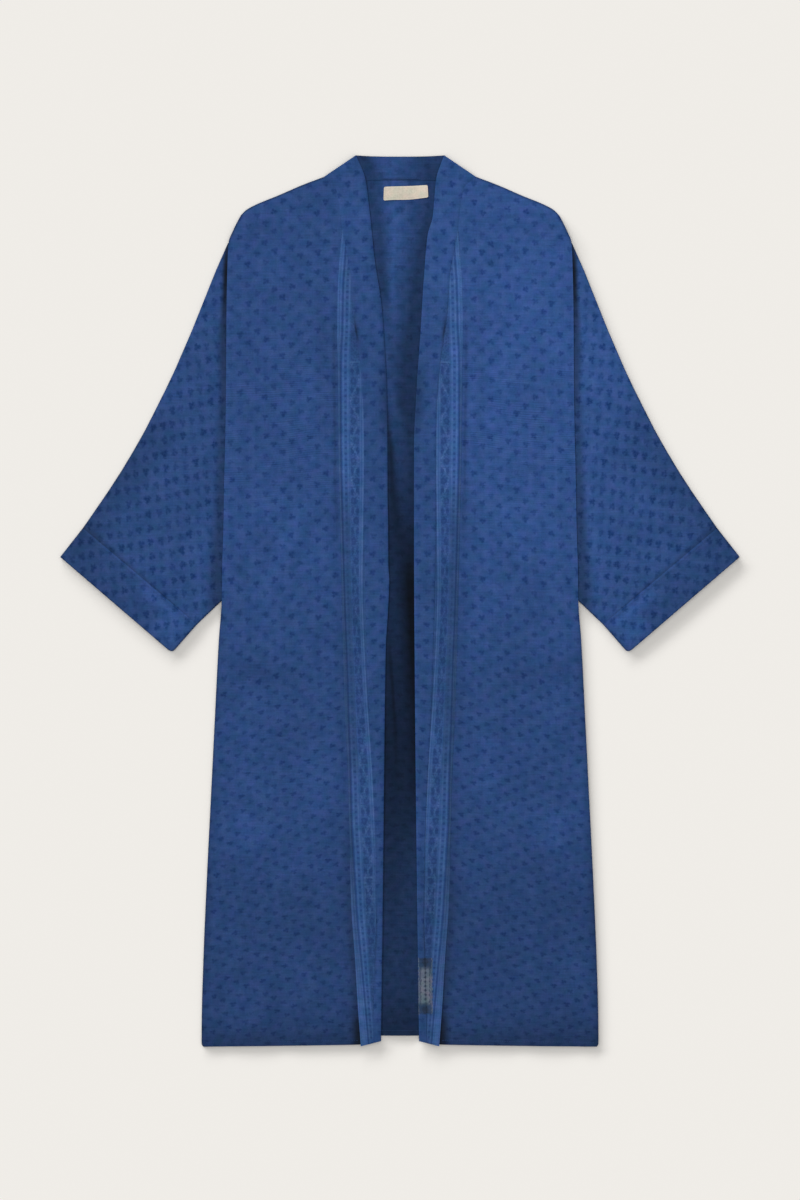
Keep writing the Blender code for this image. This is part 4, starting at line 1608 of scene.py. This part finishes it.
@dataclass
class Cuff(ClothPiece):
    """One cuff: a doubled tube sewn round the sleeve's end, open at the hand."""

    part, finish, below = "cuff_*", SLEEVE_CLOTH, ("sleeve_*",)
    side: Side
    raised: float = 0.5
    corner: float = 6.0
    gap: float = 0.3
    lap: float = 1.1
    settling: float = 0.8
    dimmed: float = 0.91
    # Painted highlights along the seam's lower half and at the foot, and painted shade towards the tip
    fades: tuple = bent(
        (284, -37, 346, 17, 8, 0.40), (298, -52, 330, -26, 15, 0.30), (360, -20, 452, 60, 26, -0.10),
    )

    def rings(self) -> tuple[np.ndarray, np.ndarray]:
        """The cuff's upper and lower fold, from the seam to the hand.

        Returns:
            Points of the upper fold and of the lower.
        """
        seam_top, seam_foot = Sleeve.line(np.array([1.0]))
        share = paced((0.0, 0.1, 5), (0.1, 0.86, 10), (0.86, 1.0, 7))[:, None]
        start = self.gap / float(np.linalg.norm(np.array(CUFF_TIP) - seam_top[0]))
        share = between(start, 1.0, share)
        top, foot = between(seam_top, CUFF_TIP, share), between(seam_foot, CUFF_FOOT, share)
        inward = (top - foot) / np.linalg.norm(top - foot, axis=1, keepdims=True)
        rounded = 1 - np.sqrt(np.maximum(1 - ((share - 0.88).clip(0) / 0.12) ** 2, 0.0))
        return top, foot + inward * self.corner * rounded

    def grid(self) -> ClothGrid:
        """The cuff as a grid of rings.

        Returns:
            The cuff's cloth.
        """
        sleeve = Sleeve(self.side)
        grid = sleeve.tube(*self.rings(), sleeve.top_z + self.raised, self.lap)
        settled = ease(0.0, 0.9, spread(0.0, 1.0, len(grid.points)))[:, None]
        above = np.maximum(grid.points[..., 2] - sleeve.top_z - self.raised, 0.0)
        grid.points[..., 2] -= self.settling * settled * above
        painted_tone = 1 + relief(self.fades, np.abs(grid.points[..., 0]), grid.points[..., 1])
        grid.shade *= self.dimmed * painted_tone
        # A painted highlight on the ridge beside the seam, and painted shade at the open end
        for ring, kept in ((0, 1.14), (1, 1.12), (2, 1.06), (-1, 0.58), (-2, 0.80)):
            grid.shade[ring] *= kept
        return grid


@dataclass
class BorderStrip(ClothPiece):
    """The printed strip beside the band, lying on the front panel."""

    part, finish, slot, below = "border_*", BORDER_CLOTH, "border", ("front_*",)
    side: Side
    clearance: float = CLEARANCE
    thickness: float = THICKNESS
    start_y: float = 501.5
    under_band: float = 0.9
    edge_roll: float = 0.3
    hem_flare: float = 1.1
    crease_y: float = 358.0
    hem_line: float = 3.7
    line_span: float = 30.6
    lines: tuple = table(
        Lines,
        (480, 7, 37), (370, 6.6, 36), (335, 4.7, 35), (300, 4, 34.2), (180, 3.5, 32.8), (100, 3.3, 29.8),
        (0, 4, 27.4), (-107, 5, 29), (-200, 4.2, 31.4), (-290, 3.4, 33.4), (-343, 5, 35), (-400, 6.8, 35),
        (-457, 7.4, 35), (-511, 9, 33), (-561, 10, 32.5), (-600, 10.3, 32),
    )
    hem_tones: tuple = table(
        Tone,
        (500, 1), (480, 1.12), (450, 1.17), (370, 1.11), (300, 0.87), (100, 0.73), (0, 0.67),
        (-280, 0.68), (-340, 0.65), (-400, 0.75), (-500, 0.91), (-560, 1.04), (-600, 0.95),
    )
    stripe_tones: tuple = table(
        Tone,
        (500, 0.95), (400, 1.05), (350, 1.12), (180, 1.15), (140, 0.98), (100, 0.82), (0, 0.75),
        (-210, 0.80), (-250, 1), (-300, 1), (-500, 0.95), (-600, 0.80),
    )
    column_tones: tuple = table(
        Tone,
        (500, 0.86), (400, 0.92), (330, 0.96), (200, 1.08), (100, 1.04), (0, 0.90), (-100, 0.94),
        (-200, 1.03), (-280, 1), (-400, 0.84), (-510, 0.76), (-600, 0.70),
    )

    def printed(self, across: np.ndarray, y: np.ndarray) -> np.ndarray:
        """Place across the border print: the cloth is sewn on wide in places, and narrow in others."""
        outer, inner = through(self.lines, y, "outer"), through(self.lines, y, "inner")
        return self.hem_line + (across - outer) * self.line_span / (inner - outer)

    def level(self, x: np.ndarray, y: np.ndarray) -> np.ndarray:
        """Height of the strip's upper face on the panel below."""
        return FrontPanel(self.side).top(x, y) + self.clearance + self.thickness

    def shade(self, across: np.ndarray, y: np.ndarray) -> np.ndarray:
        """Share of full colour down the strip, in its hem, its dotted stripe and its figured column, with
        painted shade in a crease.

        Args:
            across: Distance in from the strip's outer edge.
            y: Height along the robe.

        Returns:
            The share at each point.
        """
        at = self.printed(across, y)
        first, second, third = ease(2.6, 4.4, at), ease(14.2, 16.4, at), ease(34.8, 37.4, at)
        share = through(self.hem_tones, y) * (1 - first)
        share = share + through(self.stripe_tones, y) * first * (1 - second)
        share = share + through(self.column_tones, y) * second * (1 - third) + 0.85 * third
        # Painted shade in a crease across the strip
        crease = hill(y, 26.0, self.crease_y) * ease(15.0, 24.0, across)
        return share * (1 - 0.18 * crease) * self.side.dimmed

    def grid(self) -> ClothGrid:
        """The strip as a grid of points.

        Returns:
            The strip's cloth.
        """
        v = spread(0.0, 1.0, 260)[:, None]
        share = paced((0.0, 0.12, 4), (0.12, 1.0, 30))[None, :]
        outer_y = between(self.start_y, STRIP_EDGE[-1].y, v)
        inner_y = between(self.start_y, BAND_SEAM[-1].y, v)
        outer_x = through(STRIP_EDGE, outer_y)
        x = between(outer_x, through(BAND_SEAM, inner_y) - self.under_band, share)
        y = between(outer_y, inner_y, share)
        across = outer_x - x
        z = self.level(x, y) - self.edge_roll * hill(across, 1.2)
        z = z + self.hem_flare * ease(-400.0, -560.0, y) * (1 - share) ** 1.5
        prints = np.stack([self.printed(across, y), -y], axis=2)
        points = np.stack([self.side.value * x, y, z], axis=2)
        return ClothGrid(points, prints, self.shade(across, y), self.thickness, outward=self.side.value)


class Lay(NamedTuple):
    """A point across the band: its share of the width, its height, and how far the front carries it."""

    share: float
    height: float
    on_front: float


@dataclass
class FrontBand(ClothPiece):
    """One front stretch of the neckband: folded cloth, rolled under at the opening edge."""

    part, finish, slot, held = "band_*", BAND_CLOTH, "band", "folded"
    below = ("front_*", "back_panel")
    side: Side
    thickness: float = THICKNESS
    clearance: float = CLEARANCE
    crease_y: float = 364.0
    kink_y: float = 268.0
    shaded_y: float = -460.0
    front_top: float = 572.0
    neck_rise: float = 1.3
    neck_carry: float = 0.8
    swelling: float = 0.12
    swelling_pitch: float = 43.0
    sway: float = 0.2
    sway_pitch: float = 61.0
    crease_dip: float = 0.3
    seam_dip: float = 0.12
    top_dip: float = 0.40
    # Depths of painted shade; edge_light is a painted highlight
    crease_depth: float = 0.62
    kink_depth: float = 0.36
    low_depth: float = 0.30
    edge_depth: float = 0.06
    edge_light: float = 0.10
    print_shift: Corner = Corner(5.0, 6.0)
    profile: tuple = table(
        Lay,
        (0, 0, 1), (0.03, 0.14, 1), (0.08, 0.30, 1), (0.16, 0.50, 1), (0.26, 0.68, 1), (0.38, 0.78, 1),
        (0.50, 0.85, 0.96), (0.60, 0.95, 0.82), (0.70, 1.15, 0.60), (0.79, 1.3, 0.38), (0.87, 1.35, 0.20),
        (0.94, 1.2, 0.08), (0.98, 0.9, 0.02), (1, 0.5, 0), (0.99, 0.12, 0), (0.95, 0, 0), (0.86, 0, 0),
    )
    # Painted shade by height down the band
    tones: tuple = table(
        Tone,
        (600, 0.96), (500, 1), (430, 0.98), (390, 0.93), (200, 0.90), (0, 0.90), (-160, 0.88),
        (-235, 0.83), (-300, 0.86), (-420, 0.83), (-600, 0.80),
    )

    def opening(self) -> tuple:
        """The rows of the opening edge on this side."""
        return OPENING_LEFT if self.side is Side.LEFT else OPENING_RIGHT

    def shade(self, y: np.ndarray, share: np.ndarray) -> np.ndarray:
        """Share of full colour down the band, as painted shade by height, in a crease by the seam, at a kink,
        low by the seam and towards the opening edge, with a painted highlight near that edge low down.

        Args:
            y: Height along the robe.
            share: Share of the band's width, from its seam.

        Returns:
            The share at each point.
        """
        crease = hill(y, 15.0, self.crease_y) * hill(share, 0.045, 0.035)
        crease = crease + 0.16 * hill(y, 32.0, 392.0) * hill(share, 0.10, 0.03)
        kink = hill(y, 50.0, self.kink_y) * ease(0.35, 1.0, share)
        low = hill(y, 50.0, self.shaded_y) * ease(0.35, 0.0, share)
        inner = self.edge_depth * ease(0.84, 1.0, share)
        inner = inner - self.edge_light * ease(0.80, 0.97, share) * ease(120.0, 0.0, y)
        kept = (1 - self.crease_depth * crease) * (1 - self.low_depth * low)
        kept = kept * (1 - inner) * (1 - self.kink_depth * kink)
        return through(self.tones, y) * kept * self.side.dimmed

    def grid(self) -> ClothGrid:
        """The band as a grid of points.

        Returns:
            The band's cloth.
        """
        v = spread(0.0, 1.0, 280)[:, None]
        share, height, on_front = np.array(self.profile).T[:, None, :]
        rows = self.opening()
        seam_y = between(BAND_SEAM[0].y, BAND_SEAM[-1].y, v)
        edge_y = between(rows[0].y, rows[-1].y, v)
        x = between(through(BAND_SEAM, seam_y), through(rows, edge_y), share)
        y = between(seam_y, edge_y, share)
        strip = (CLEARANCE + THICKNESS) * ease(506.0, 492.0, y) * ease(0.20, 0.05, share)
        front = FrontPanel(self.side).top(np.maximum(x, FRONT_INNER[-1].x), np.minimum(y, self.front_top))
        carried = front + strip + self.clearance + self.thickness
        neck = ease(545.0, 585.0, y)
        base = BackPanel.top_z + self.clearance + self.thickness + self.neck_rise * neck
        level = between(base, np.maximum(carried, base), np.maximum(on_front, self.neck_carry * neck))
        z = level + height * (1 + self.swelling * np.sin(y / self.swelling_pitch))
        z = z + self.sway * np.sin(y / self.sway_pitch) * np.sin(math.pi * share)
        dip = self.crease_dip * hill(y, 20.0, self.crease_y)
        z = z - dip * ease(0.28, 0.05, share) * ease(0.0, 0.06, share)
        z = z - (self.seam_dip + self.top_dip * ease(496.0, 508.0, y)) * ease(0.06, 0.0, share)
        prints = body_print(x + self.print_shift.x, y + self.print_shift.y)
        points = np.stack([self.side.value * x, y, z], axis=2)
        return ClothGrid(points, prints, self.shade(y, share), self.thickness, outward=self.side.value)


@dataclass
class BackBand(ClothPiece):
    """The stretch of the neckband behind the neck, folded and flat beyond the neck seam."""

    part, finish, slot, held = "band_back_neck", INSIDE_CLOTH, "band", "folded"
    rows: int = 24
    columns: int = 90
    thickness: float = THICKNESS
    dip: float = 1.7
    corner_x: float = 59.4
    corner_y: float = 601.5
    foot_x: float = 101.8
    seam_y: float = 568.3
    seam_z: float = 1.55
    fold_z: float = 1.1
    under_z: float = 0.2
    loft: float = 0.7
    ripple: float = 0.22
    tone: float = 1.02
    seam_depth: float = 0.55

    def grid(self) -> ClothGrid:
        """The stretch as a folded grid: its upper layer, the fold at its top and its lower layer.

        Returns:
            The stretch's cloth.
        """
        around = spread(0.0, 2.0, 2 * self.rows)[:, None]
        u = spread(-1.0, 1.0, self.columns)[None, :]
        upper = around < 1.0
        v = np.sin(0.5 * math.pi * (1 - np.abs(around - 1.0)))
        x = u * between(self.foot_x, self.corner_x, v)
        top_y = self.corner_y - self.dip * (1 - np.abs(u) ** 3)
        foot_y = np.where(upper, self.seam_y, BACK_NECK_Y + 0.6) + 2.4 * ease(0.93, 1.0, np.abs(u))
        y = between(foot_y, top_y, v)
        round_off = np.sqrt(np.maximum(1 - v**14, 0.0))
        lift = self.seam_z + self.loft * ease(0.0, 0.45, v)
        z = between(self.fold_z, np.where(upper, lift, self.under_z), round_off)
        z = z + np.where(upper, self.ripple * np.sin(x / 11.0) * (1 - v) * v * 3, 0.0)
        prints = body_print(np.abs(x) + INSIDE_SHIFT, y)
        # Painted shade: a dark line along the neck seam, darker towards the top fold, and the painted light
        # of the opening
        seam = ease(2.6, 0.6, y - self.seam_y) * ease(-30.0, -20.0, x) * ease(30.0, 22.0, x)
        fold = (1 - 0.12 * ease(0.7, 1.0, v)) * (1 - 0.35 * ease(0.95, 1.0, v))
        shade = self.tone * fold * (1 - self.seam_depth * seam) * OpeningLight().share(x, y)
        return ClothGrid(np.stack([x, y, z], axis=2), prints, shade, self.thickness)


@dataclass
class NeckLabel(ClothPiece):
    """The bare woven label inside the back of the neck."""

    part, finish, slot, ending = "neck_label", LABEL_TAPE, "label", "tape"
    columns: int = 48
    length: float = 59.0
    width: float = 17.0
    corner: float = 1.9
    level: float = 1.75
    swell: float = 0.35
    wave: float = 0.3
    buckle: float = 0.55
    thickness: float = THICKNESS
    corners: tuple = (Corner(-21.6, 558.9), Corner(37.3, 561.2), Corner(38.1, 544.1), Corner(-22.3, 540.0))

    def grid(self) -> ClothGrid:
        """The label as a slightly wavy grid.

        Returns:
            The label's tape.
        """
        v = paced((0.0, 0.12, 5), (0.12, 0.88, 9), (0.88, 1.0, 5))[:, None, None]
        near = np.clip(1 - np.minimum(v, 1 - v) * self.width / self.corner, 0.0, 1.0)
        inset = self.corner * (1 - np.sqrt(1 - near**2)) / self.length
        u = inset + spread(0.0, 1.0, self.columns)[None, :, None] * (1 - 2 * inset)
        a, b, c, d = (np.array(corner) for corner in self.corners)
        flat = (a * (1 - u) + b * u) * (1 - v) + (d * (1 - u) + c * u) * v
        across, down = u[..., 0] + 0 * v[..., 0], v[..., 0] + 0 * u[..., 0]
        y = flat[..., 1] + self.buckle * np.sin(across * 7.0 + 0.6) * (0.3 + 0.7 * down)
        z = self.level + self.wave * np.sin(across * 8.2) * down + self.swell * np.sin(math.pi * down)
        prints = np.stack([across * 60, down * 18], axis=2)
        in_width = np.minimum(down, 1 - down) * self.width
        rim = np.minimum(in_width, np.minimum(across, 1 - across) * self.length)
        shade = 1 + 0.05 * ease(2.0, 0.5, rim) - 0.06 * hill(rim, 0.8, 2.6)
        points = np.stack([flat[..., 0], y, z], axis=2)
        return ClothGrid(points, prints, shade, self.thickness, outward=-1.0)


@dataclass
class StitchRun:
    """Stitches of one size, sewn along lines by a geometry node tree."""

    pitch: float = 3.2
    length: float = 2.3
    width: float = 0.42
    shortest: float = 0.85
    longest: float = 1.1
    seed: int = 7

    def tree(self, material: bpy.types.Material) -> bpy.types.NodeTree:
        """Builds the tree: lines in, realized stitches out.

        Args:
            material: The thread.

        Returns:
            The node tree.
        """
        tree = bpy.data.node_groups.new("StitchRun", "GeometryNodeTree")
        tree.interface.new_socket("Lines", in_out="INPUT", socket_type="NodeSocketGeometry")
        for label in ("Pitch", "Length", "Width"):
            tree.interface.new_socket(label, in_out="INPUT", socket_type="NodeSocketFloat")
        tree.interface.new_socket("Seed", in_out="INPUT", socket_type="NodeSocketInt")
        tree.interface.new_socket("Stitches", in_out="OUTPUT", socket_type="NodeSocketGeometry")
        n = NodeSketch(tree)
        given, out = n.node("NodeGroupInput"), n.node("NodeGroupOutput")
        curve = n.node("GeometryNodeMeshToCurve")
        n.feed(curve.inputs["Mesh"], given.outputs["Lines"])
        even = n.node("GeometryNodeResampleCurve", mode="LENGTH")
        n.feed(even.inputs["Curve"], curve.outputs["Curve"])
        n.feed(even.inputs["Length"], given.outputs["Pitch"])
        grain = n.node("GeometryNodeMeshIcoSphere")
        grain.inputs["Radius"].default_value = 0.5
        grain.inputs["Subdivisions"].default_value = 1
        facing = n.node("FunctionNodeAlignRotationToVector", axis="X")
        n.feed(facing.inputs["Vector"], n.node("GeometryNodeInputTangent").outputs["Tangent"])
        size = n.node("ShaderNodeCombineXYZ")
        uneven = n.node("FunctionNodeRandomValue", data_type="FLOAT")
        n.feed(uneven.inputs[2], self.shortest)
        n.feed(uneven.inputs[3], self.longest)
        n.feed(uneven.inputs["Seed"], given.outputs["Seed"])
        n.feed(size.inputs[0], n.times(given.outputs["Length"], uneven.outputs[1]))
        n.feed(size.inputs[1], given.outputs["Width"])
        n.feed(size.inputs[2], given.outputs["Width"])
        laid = n.node("GeometryNodeInstanceOnPoints")
        n.feed(laid.inputs["Points"], even.outputs["Curve"])
        n.feed(laid.inputs["Instance"], grain.outputs["Mesh"])
        n.feed(laid.inputs["Rotation"], facing.outputs["Rotation"])
        n.feed(laid.inputs["Scale"], size.outputs[0])
        real = n.node("GeometryNodeRealizeInstances")
        n.feed(real.inputs["Geometry"], laid.outputs["Instances"])
        coated = n.node("GeometryNodeSetMaterial")
        n.feed(coated.inputs["Geometry"], real.outputs["Geometry"])
        coated.inputs["Material"].default_value = material
        n.feed(out.inputs["Stitches"], coated.outputs["Geometry"])
        return tree

    def sew(self, name: str, lines: list[np.ndarray], finish: ThreadFinish, slot: str,
            dresser: Dresser) -> None:
        """Sews stitches along each line, as one plain mesh.

        Args:
            name: The new object's name.
            lines: Points of each line, in millimetres.
            finish: The thread.
            slot: A material slot's name; not used.
            dresser: Keeps the materials.
        """
        points, edges = [], []
        for line in lines:
            first = len(points)
            points += (np.asarray(line) * MM).tolist()
            edges += [(first + i, first + i + 1) for i in range(len(line) - 1)]
        guide_mesh = bpy.data.meshes.new(f"{name}_guide")
        guide_mesh.from_pydata(points, edges, [])
        guide = placed(f"{name}_guide", guide_mesh)
        tree = self.tree(dresser.material(finish))
        modifier = guide.modifiers.new("stitches", "NODES")
        modifier.node_group = tree
        values = {"Pitch": self.pitch * MM, "Length": self.length * MM, "Width": self.width * MM,
                  "Seed": self.seed}
        for item in tree.interface.items_tree:
            if item.item_type == "SOCKET" and item.in_out == "INPUT" and item.name in values:
                modifier[item.identifier] = values[item.name]
        guide_graph = bpy.context.evaluated_depsgraph_get()
        mesh = bpy.data.meshes.new_from_object(guide.evaluated_get(guide_graph))
        bpy.data.objects.remove(guide)
        mesh.name = name
        mesh.shade_smooth()
        obj = placed(name, mesh)
        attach(obj, "root")
        LOG.info("%s: %d faces", name, len(mesh.polygons))


@dataclass
class Seams:
    """The rows of stitches that show."""

    run: StitchRun
    hem_inset: float = 6.6
    neck_y: float = 570.2
    neck_z: float = 1.72
    on_top: float = 0.06

    def lifted(self, points: np.ndarray) -> np.ndarray:
        """A row of the cloth's points, lifted to where the thread lies."""
        return points + np.array([0.0, 0.0, self.on_top])

    def hem(self, side: Side) -> list[np.ndarray]:
        """The hem of one front.

        Args:
            side: The front's side.

        Returns:
            Its one row of stitches.
        """
        front = FrontPanel(side)
        x = spread(58.0, 261.0, 90)
        y = through(HEM, x, "y", key="x") + self.hem_inset - 0.9
        return [np.stack([side.value * x, y, front.top(x, y) + self.on_top], axis=1)]

    def back_hem(self) -> list[np.ndarray]:
        """The part of the back's hem between the bands."""
        x = spread(-23.0, 23.0, 16)
        back = BackPanel()
        y = back.hem(x) + self.hem_inset
        return [np.stack([x, y, back.top_z + relief(back.creases, x, y) + self.on_top], axis=1)]

    def cuff(self, side: Side) -> list[np.ndarray]:
        """A row beside the cuff's seam and one beside its end."""
        rings = Cuff(side).grid().points[:, 3:Sleeve.across - 3]
        return [self.lifted(rings[2]), self.lifted(rings[-5])]

    def strip(self, side: Side) -> list[np.ndarray]:
        """A row down the outer edge of the border strip."""
        return [self.lifted(BorderStrip(side).grid().points[1:-1, 3])]

    def neck(self) -> list[np.ndarray]:
        """The neck seam."""
        x = spread(-26.0, 40.0, 30)
        return [np.stack([x, np.full_like(x, self.neck_y), np.full_like(x, self.neck_z)], axis=1)]

    def label(self) -> list[np.ndarray]:
        """The two short ends of the label."""
        points = NeckLabel().grid().points[1:-1]
        return [self.lifted(points[:, 1]), self.lifted(points[:, -2])]

    def build(self, dresser: Dresser) -> None:
        """Sews every row.

        Args:
            dresser: Keeps the materials.
        """
        for side in Side:
            self.run.sew(f"stitches_hem_{side.word}", self.hem(side), BLUE_THREAD, "cloth", dresser)
            self.run.sew(f"stitches_cuff_{side.word}", self.cuff(side), BLUE_THREAD, "cloth", dresser)
            self.run.sew(f"stitches_border_{side.word}", self.strip(side), BLUE_THREAD, "border", dresser)
        self.run.sew("stitches_back_hem", self.back_hem(), BLUE_THREAD, "cloth_inside", dresser)
        self.run.sew("stitches_neck", self.neck(), BLUE_THREAD, "band", dresser)
        fine = StitchRun(pitch=2.4, length=1.7, width=0.4)
        fine.sew("stitches_label", self.label(), CREAM_THREAD, "label", dresser)


class Lamp(NamedTuple):
    """A fan of distant lamps: their share of the light, their places in degrees, and what they light."""

    name: str
    share: float
    elevation: float
    softness: float
    turns: tuple
    on_robe: bool


@dataclass
class Studio:
    """Pale floor, even light, a soft key on the robe and a low soft light along the floor."""

    frame_width: float = 1080.0
    aspect: float = 1.5
    sensor: float = 36.0
    camera_height: float = 6.0
    camera_y: float = 0.00135
    floor_reach: float = 6.0
    floor_z: float = -0.0002
    floor_colour: tuple = (0.958, 0.931, 0.887)
    fill: float = 0.60
    lamps: tuple = (
        Lamp("key", 0.25, elevation=22.0, softness=14.0, turns=(34.7,), on_robe=True),
        Lamp("overhead", 0.15, elevation=80.0, softness=40.0, turns=(34.7,), on_robe=True),
        Lamp("low", 0.20, elevation=6.8, softness=5.0, turns=(61.0, 47.0, 33.0, 19.0, 5.0), on_robe=False),
        Lamp("soft", 0.105, elevation=10.5, softness=8.5, turns=(47.0, 33.0, 19.0), on_robe=False),
    )

    def floor(self) -> bpy.types.Object:
        """A wide pale floor just below the robe.

        Returns:
            The floor.
        """
        mesh = bpy.data.meshes.new("floor")
        corners = [(x * self.floor_reach, y * self.floor_reach, self.floor_z)
                   for x, y in ((-1, -1), (1, -1), (1, 1), (-1, 1))]
        mesh.from_pydata(corners, [], [(0, 1, 2, 3)])
        obj = placed("floor", mesh)
        material = bpy.data.materials.new("floor_paper")
        material.use_nodes = True
        shader = material.node_tree.nodes["Principled BSDF"]
        shader.inputs["Base Color"].default_value = (*self.floor_colour, 1.0)
        shader.inputs["Roughness"].default_value = 0.9
        shader.inputs["Specular IOR Level"].default_value = 0.0
        mesh.materials.append(material)
        return obj

    def hang(self, lamp: Lamp, lit: list) -> None:
        """Hangs a fan of distant lamps that light some objects.

        Args:
            lamp: The fan; its turns go from the top of the picture to the left.
            lit: The objects that it lights.
        """
        rise = math.radians(lamp.elevation)
        group = bpy.data.collections.new(f"{lamp.name}_lights")
        for piece in lit:
            group.objects.link(piece)
        for turn in lamp.turns:
            data = bpy.data.lights.new(lamp.name, "SUN")
            data.energy = lamp.share / len(lamp.turns) * math.pi / math.sin(rise)
            data.angle = math.radians(lamp.softness)
            obj = placed(lamp.name, data)
            aside, ahead = math.sin(math.radians(turn)), math.cos(math.radians(turn))
            towards = Vector((-aside * math.cos(rise), ahead * math.cos(rise), math.sin(rise)))
            obj.rotation_euler = towards.to_track_quat("Z", "Y").to_euler()
            obj.light_linking.receiver_collection = group

    def camera(self) -> None:
        """A long lens straight above, with the neck at the top of the frame."""
        data = bpy.data.cameras.new("camera")
        data.sensor_width = self.sensor
        data.lens = self.sensor * self.camera_height / (self.aspect * self.frame_width * MM)
        data.clip_end = 50.0
        obj = placed("camera", data)
        obj.location = (0.0, self.camera_y, self.camera_height)
        bpy.context.scene.camera = obj
        bpy.context.scene.view_settings.view_transform = "Standard"

    def build(self) -> None:
        """Sets up the studio."""
        robe = [obj for obj in bpy.context.scene.objects if obj.type == "MESH"]
        floor = self.floor()
        world = bpy.data.worlds.new("studio")
        bpy.context.scene.world = world
        world.use_nodes = True
        background = world.node_tree.nodes["Background"]
        background.inputs["Color"].default_value = (1.0, 1.0, 1.0, 1.0)
        background.inputs["Strength"].default_value = self.fill
        for lamp in self.lamps:
            self.hang(lamp, robe if lamp.on_robe else [floor])
        self.camera()


def main() -> None:
    """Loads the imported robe, dresses it piece by piece and sets up the studio."""
    logging.basicConfig(level=logging.INFO, format="%(message)s")
    for obj in list(bpy.data.objects):
        bpy.data.objects.remove(obj)
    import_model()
    dresser = Dresser(PrintWorks(), {})
    BackPanel().build(dresser)
    BackBand().build(dresser)
    NeckLabel().build(dresser)
    for side in Side:
        FrontPanel(side).build(dresser)
        Sleeve(side).build(dresser)
        Cuff(side).build(dresser)
        BorderStrip(side).build(dresser)
        FrontBand(side).build(dresser)
    Seams(StitchRun()).build(dresser)
    Studio().build()


if __name__ == "__main__":
    main()
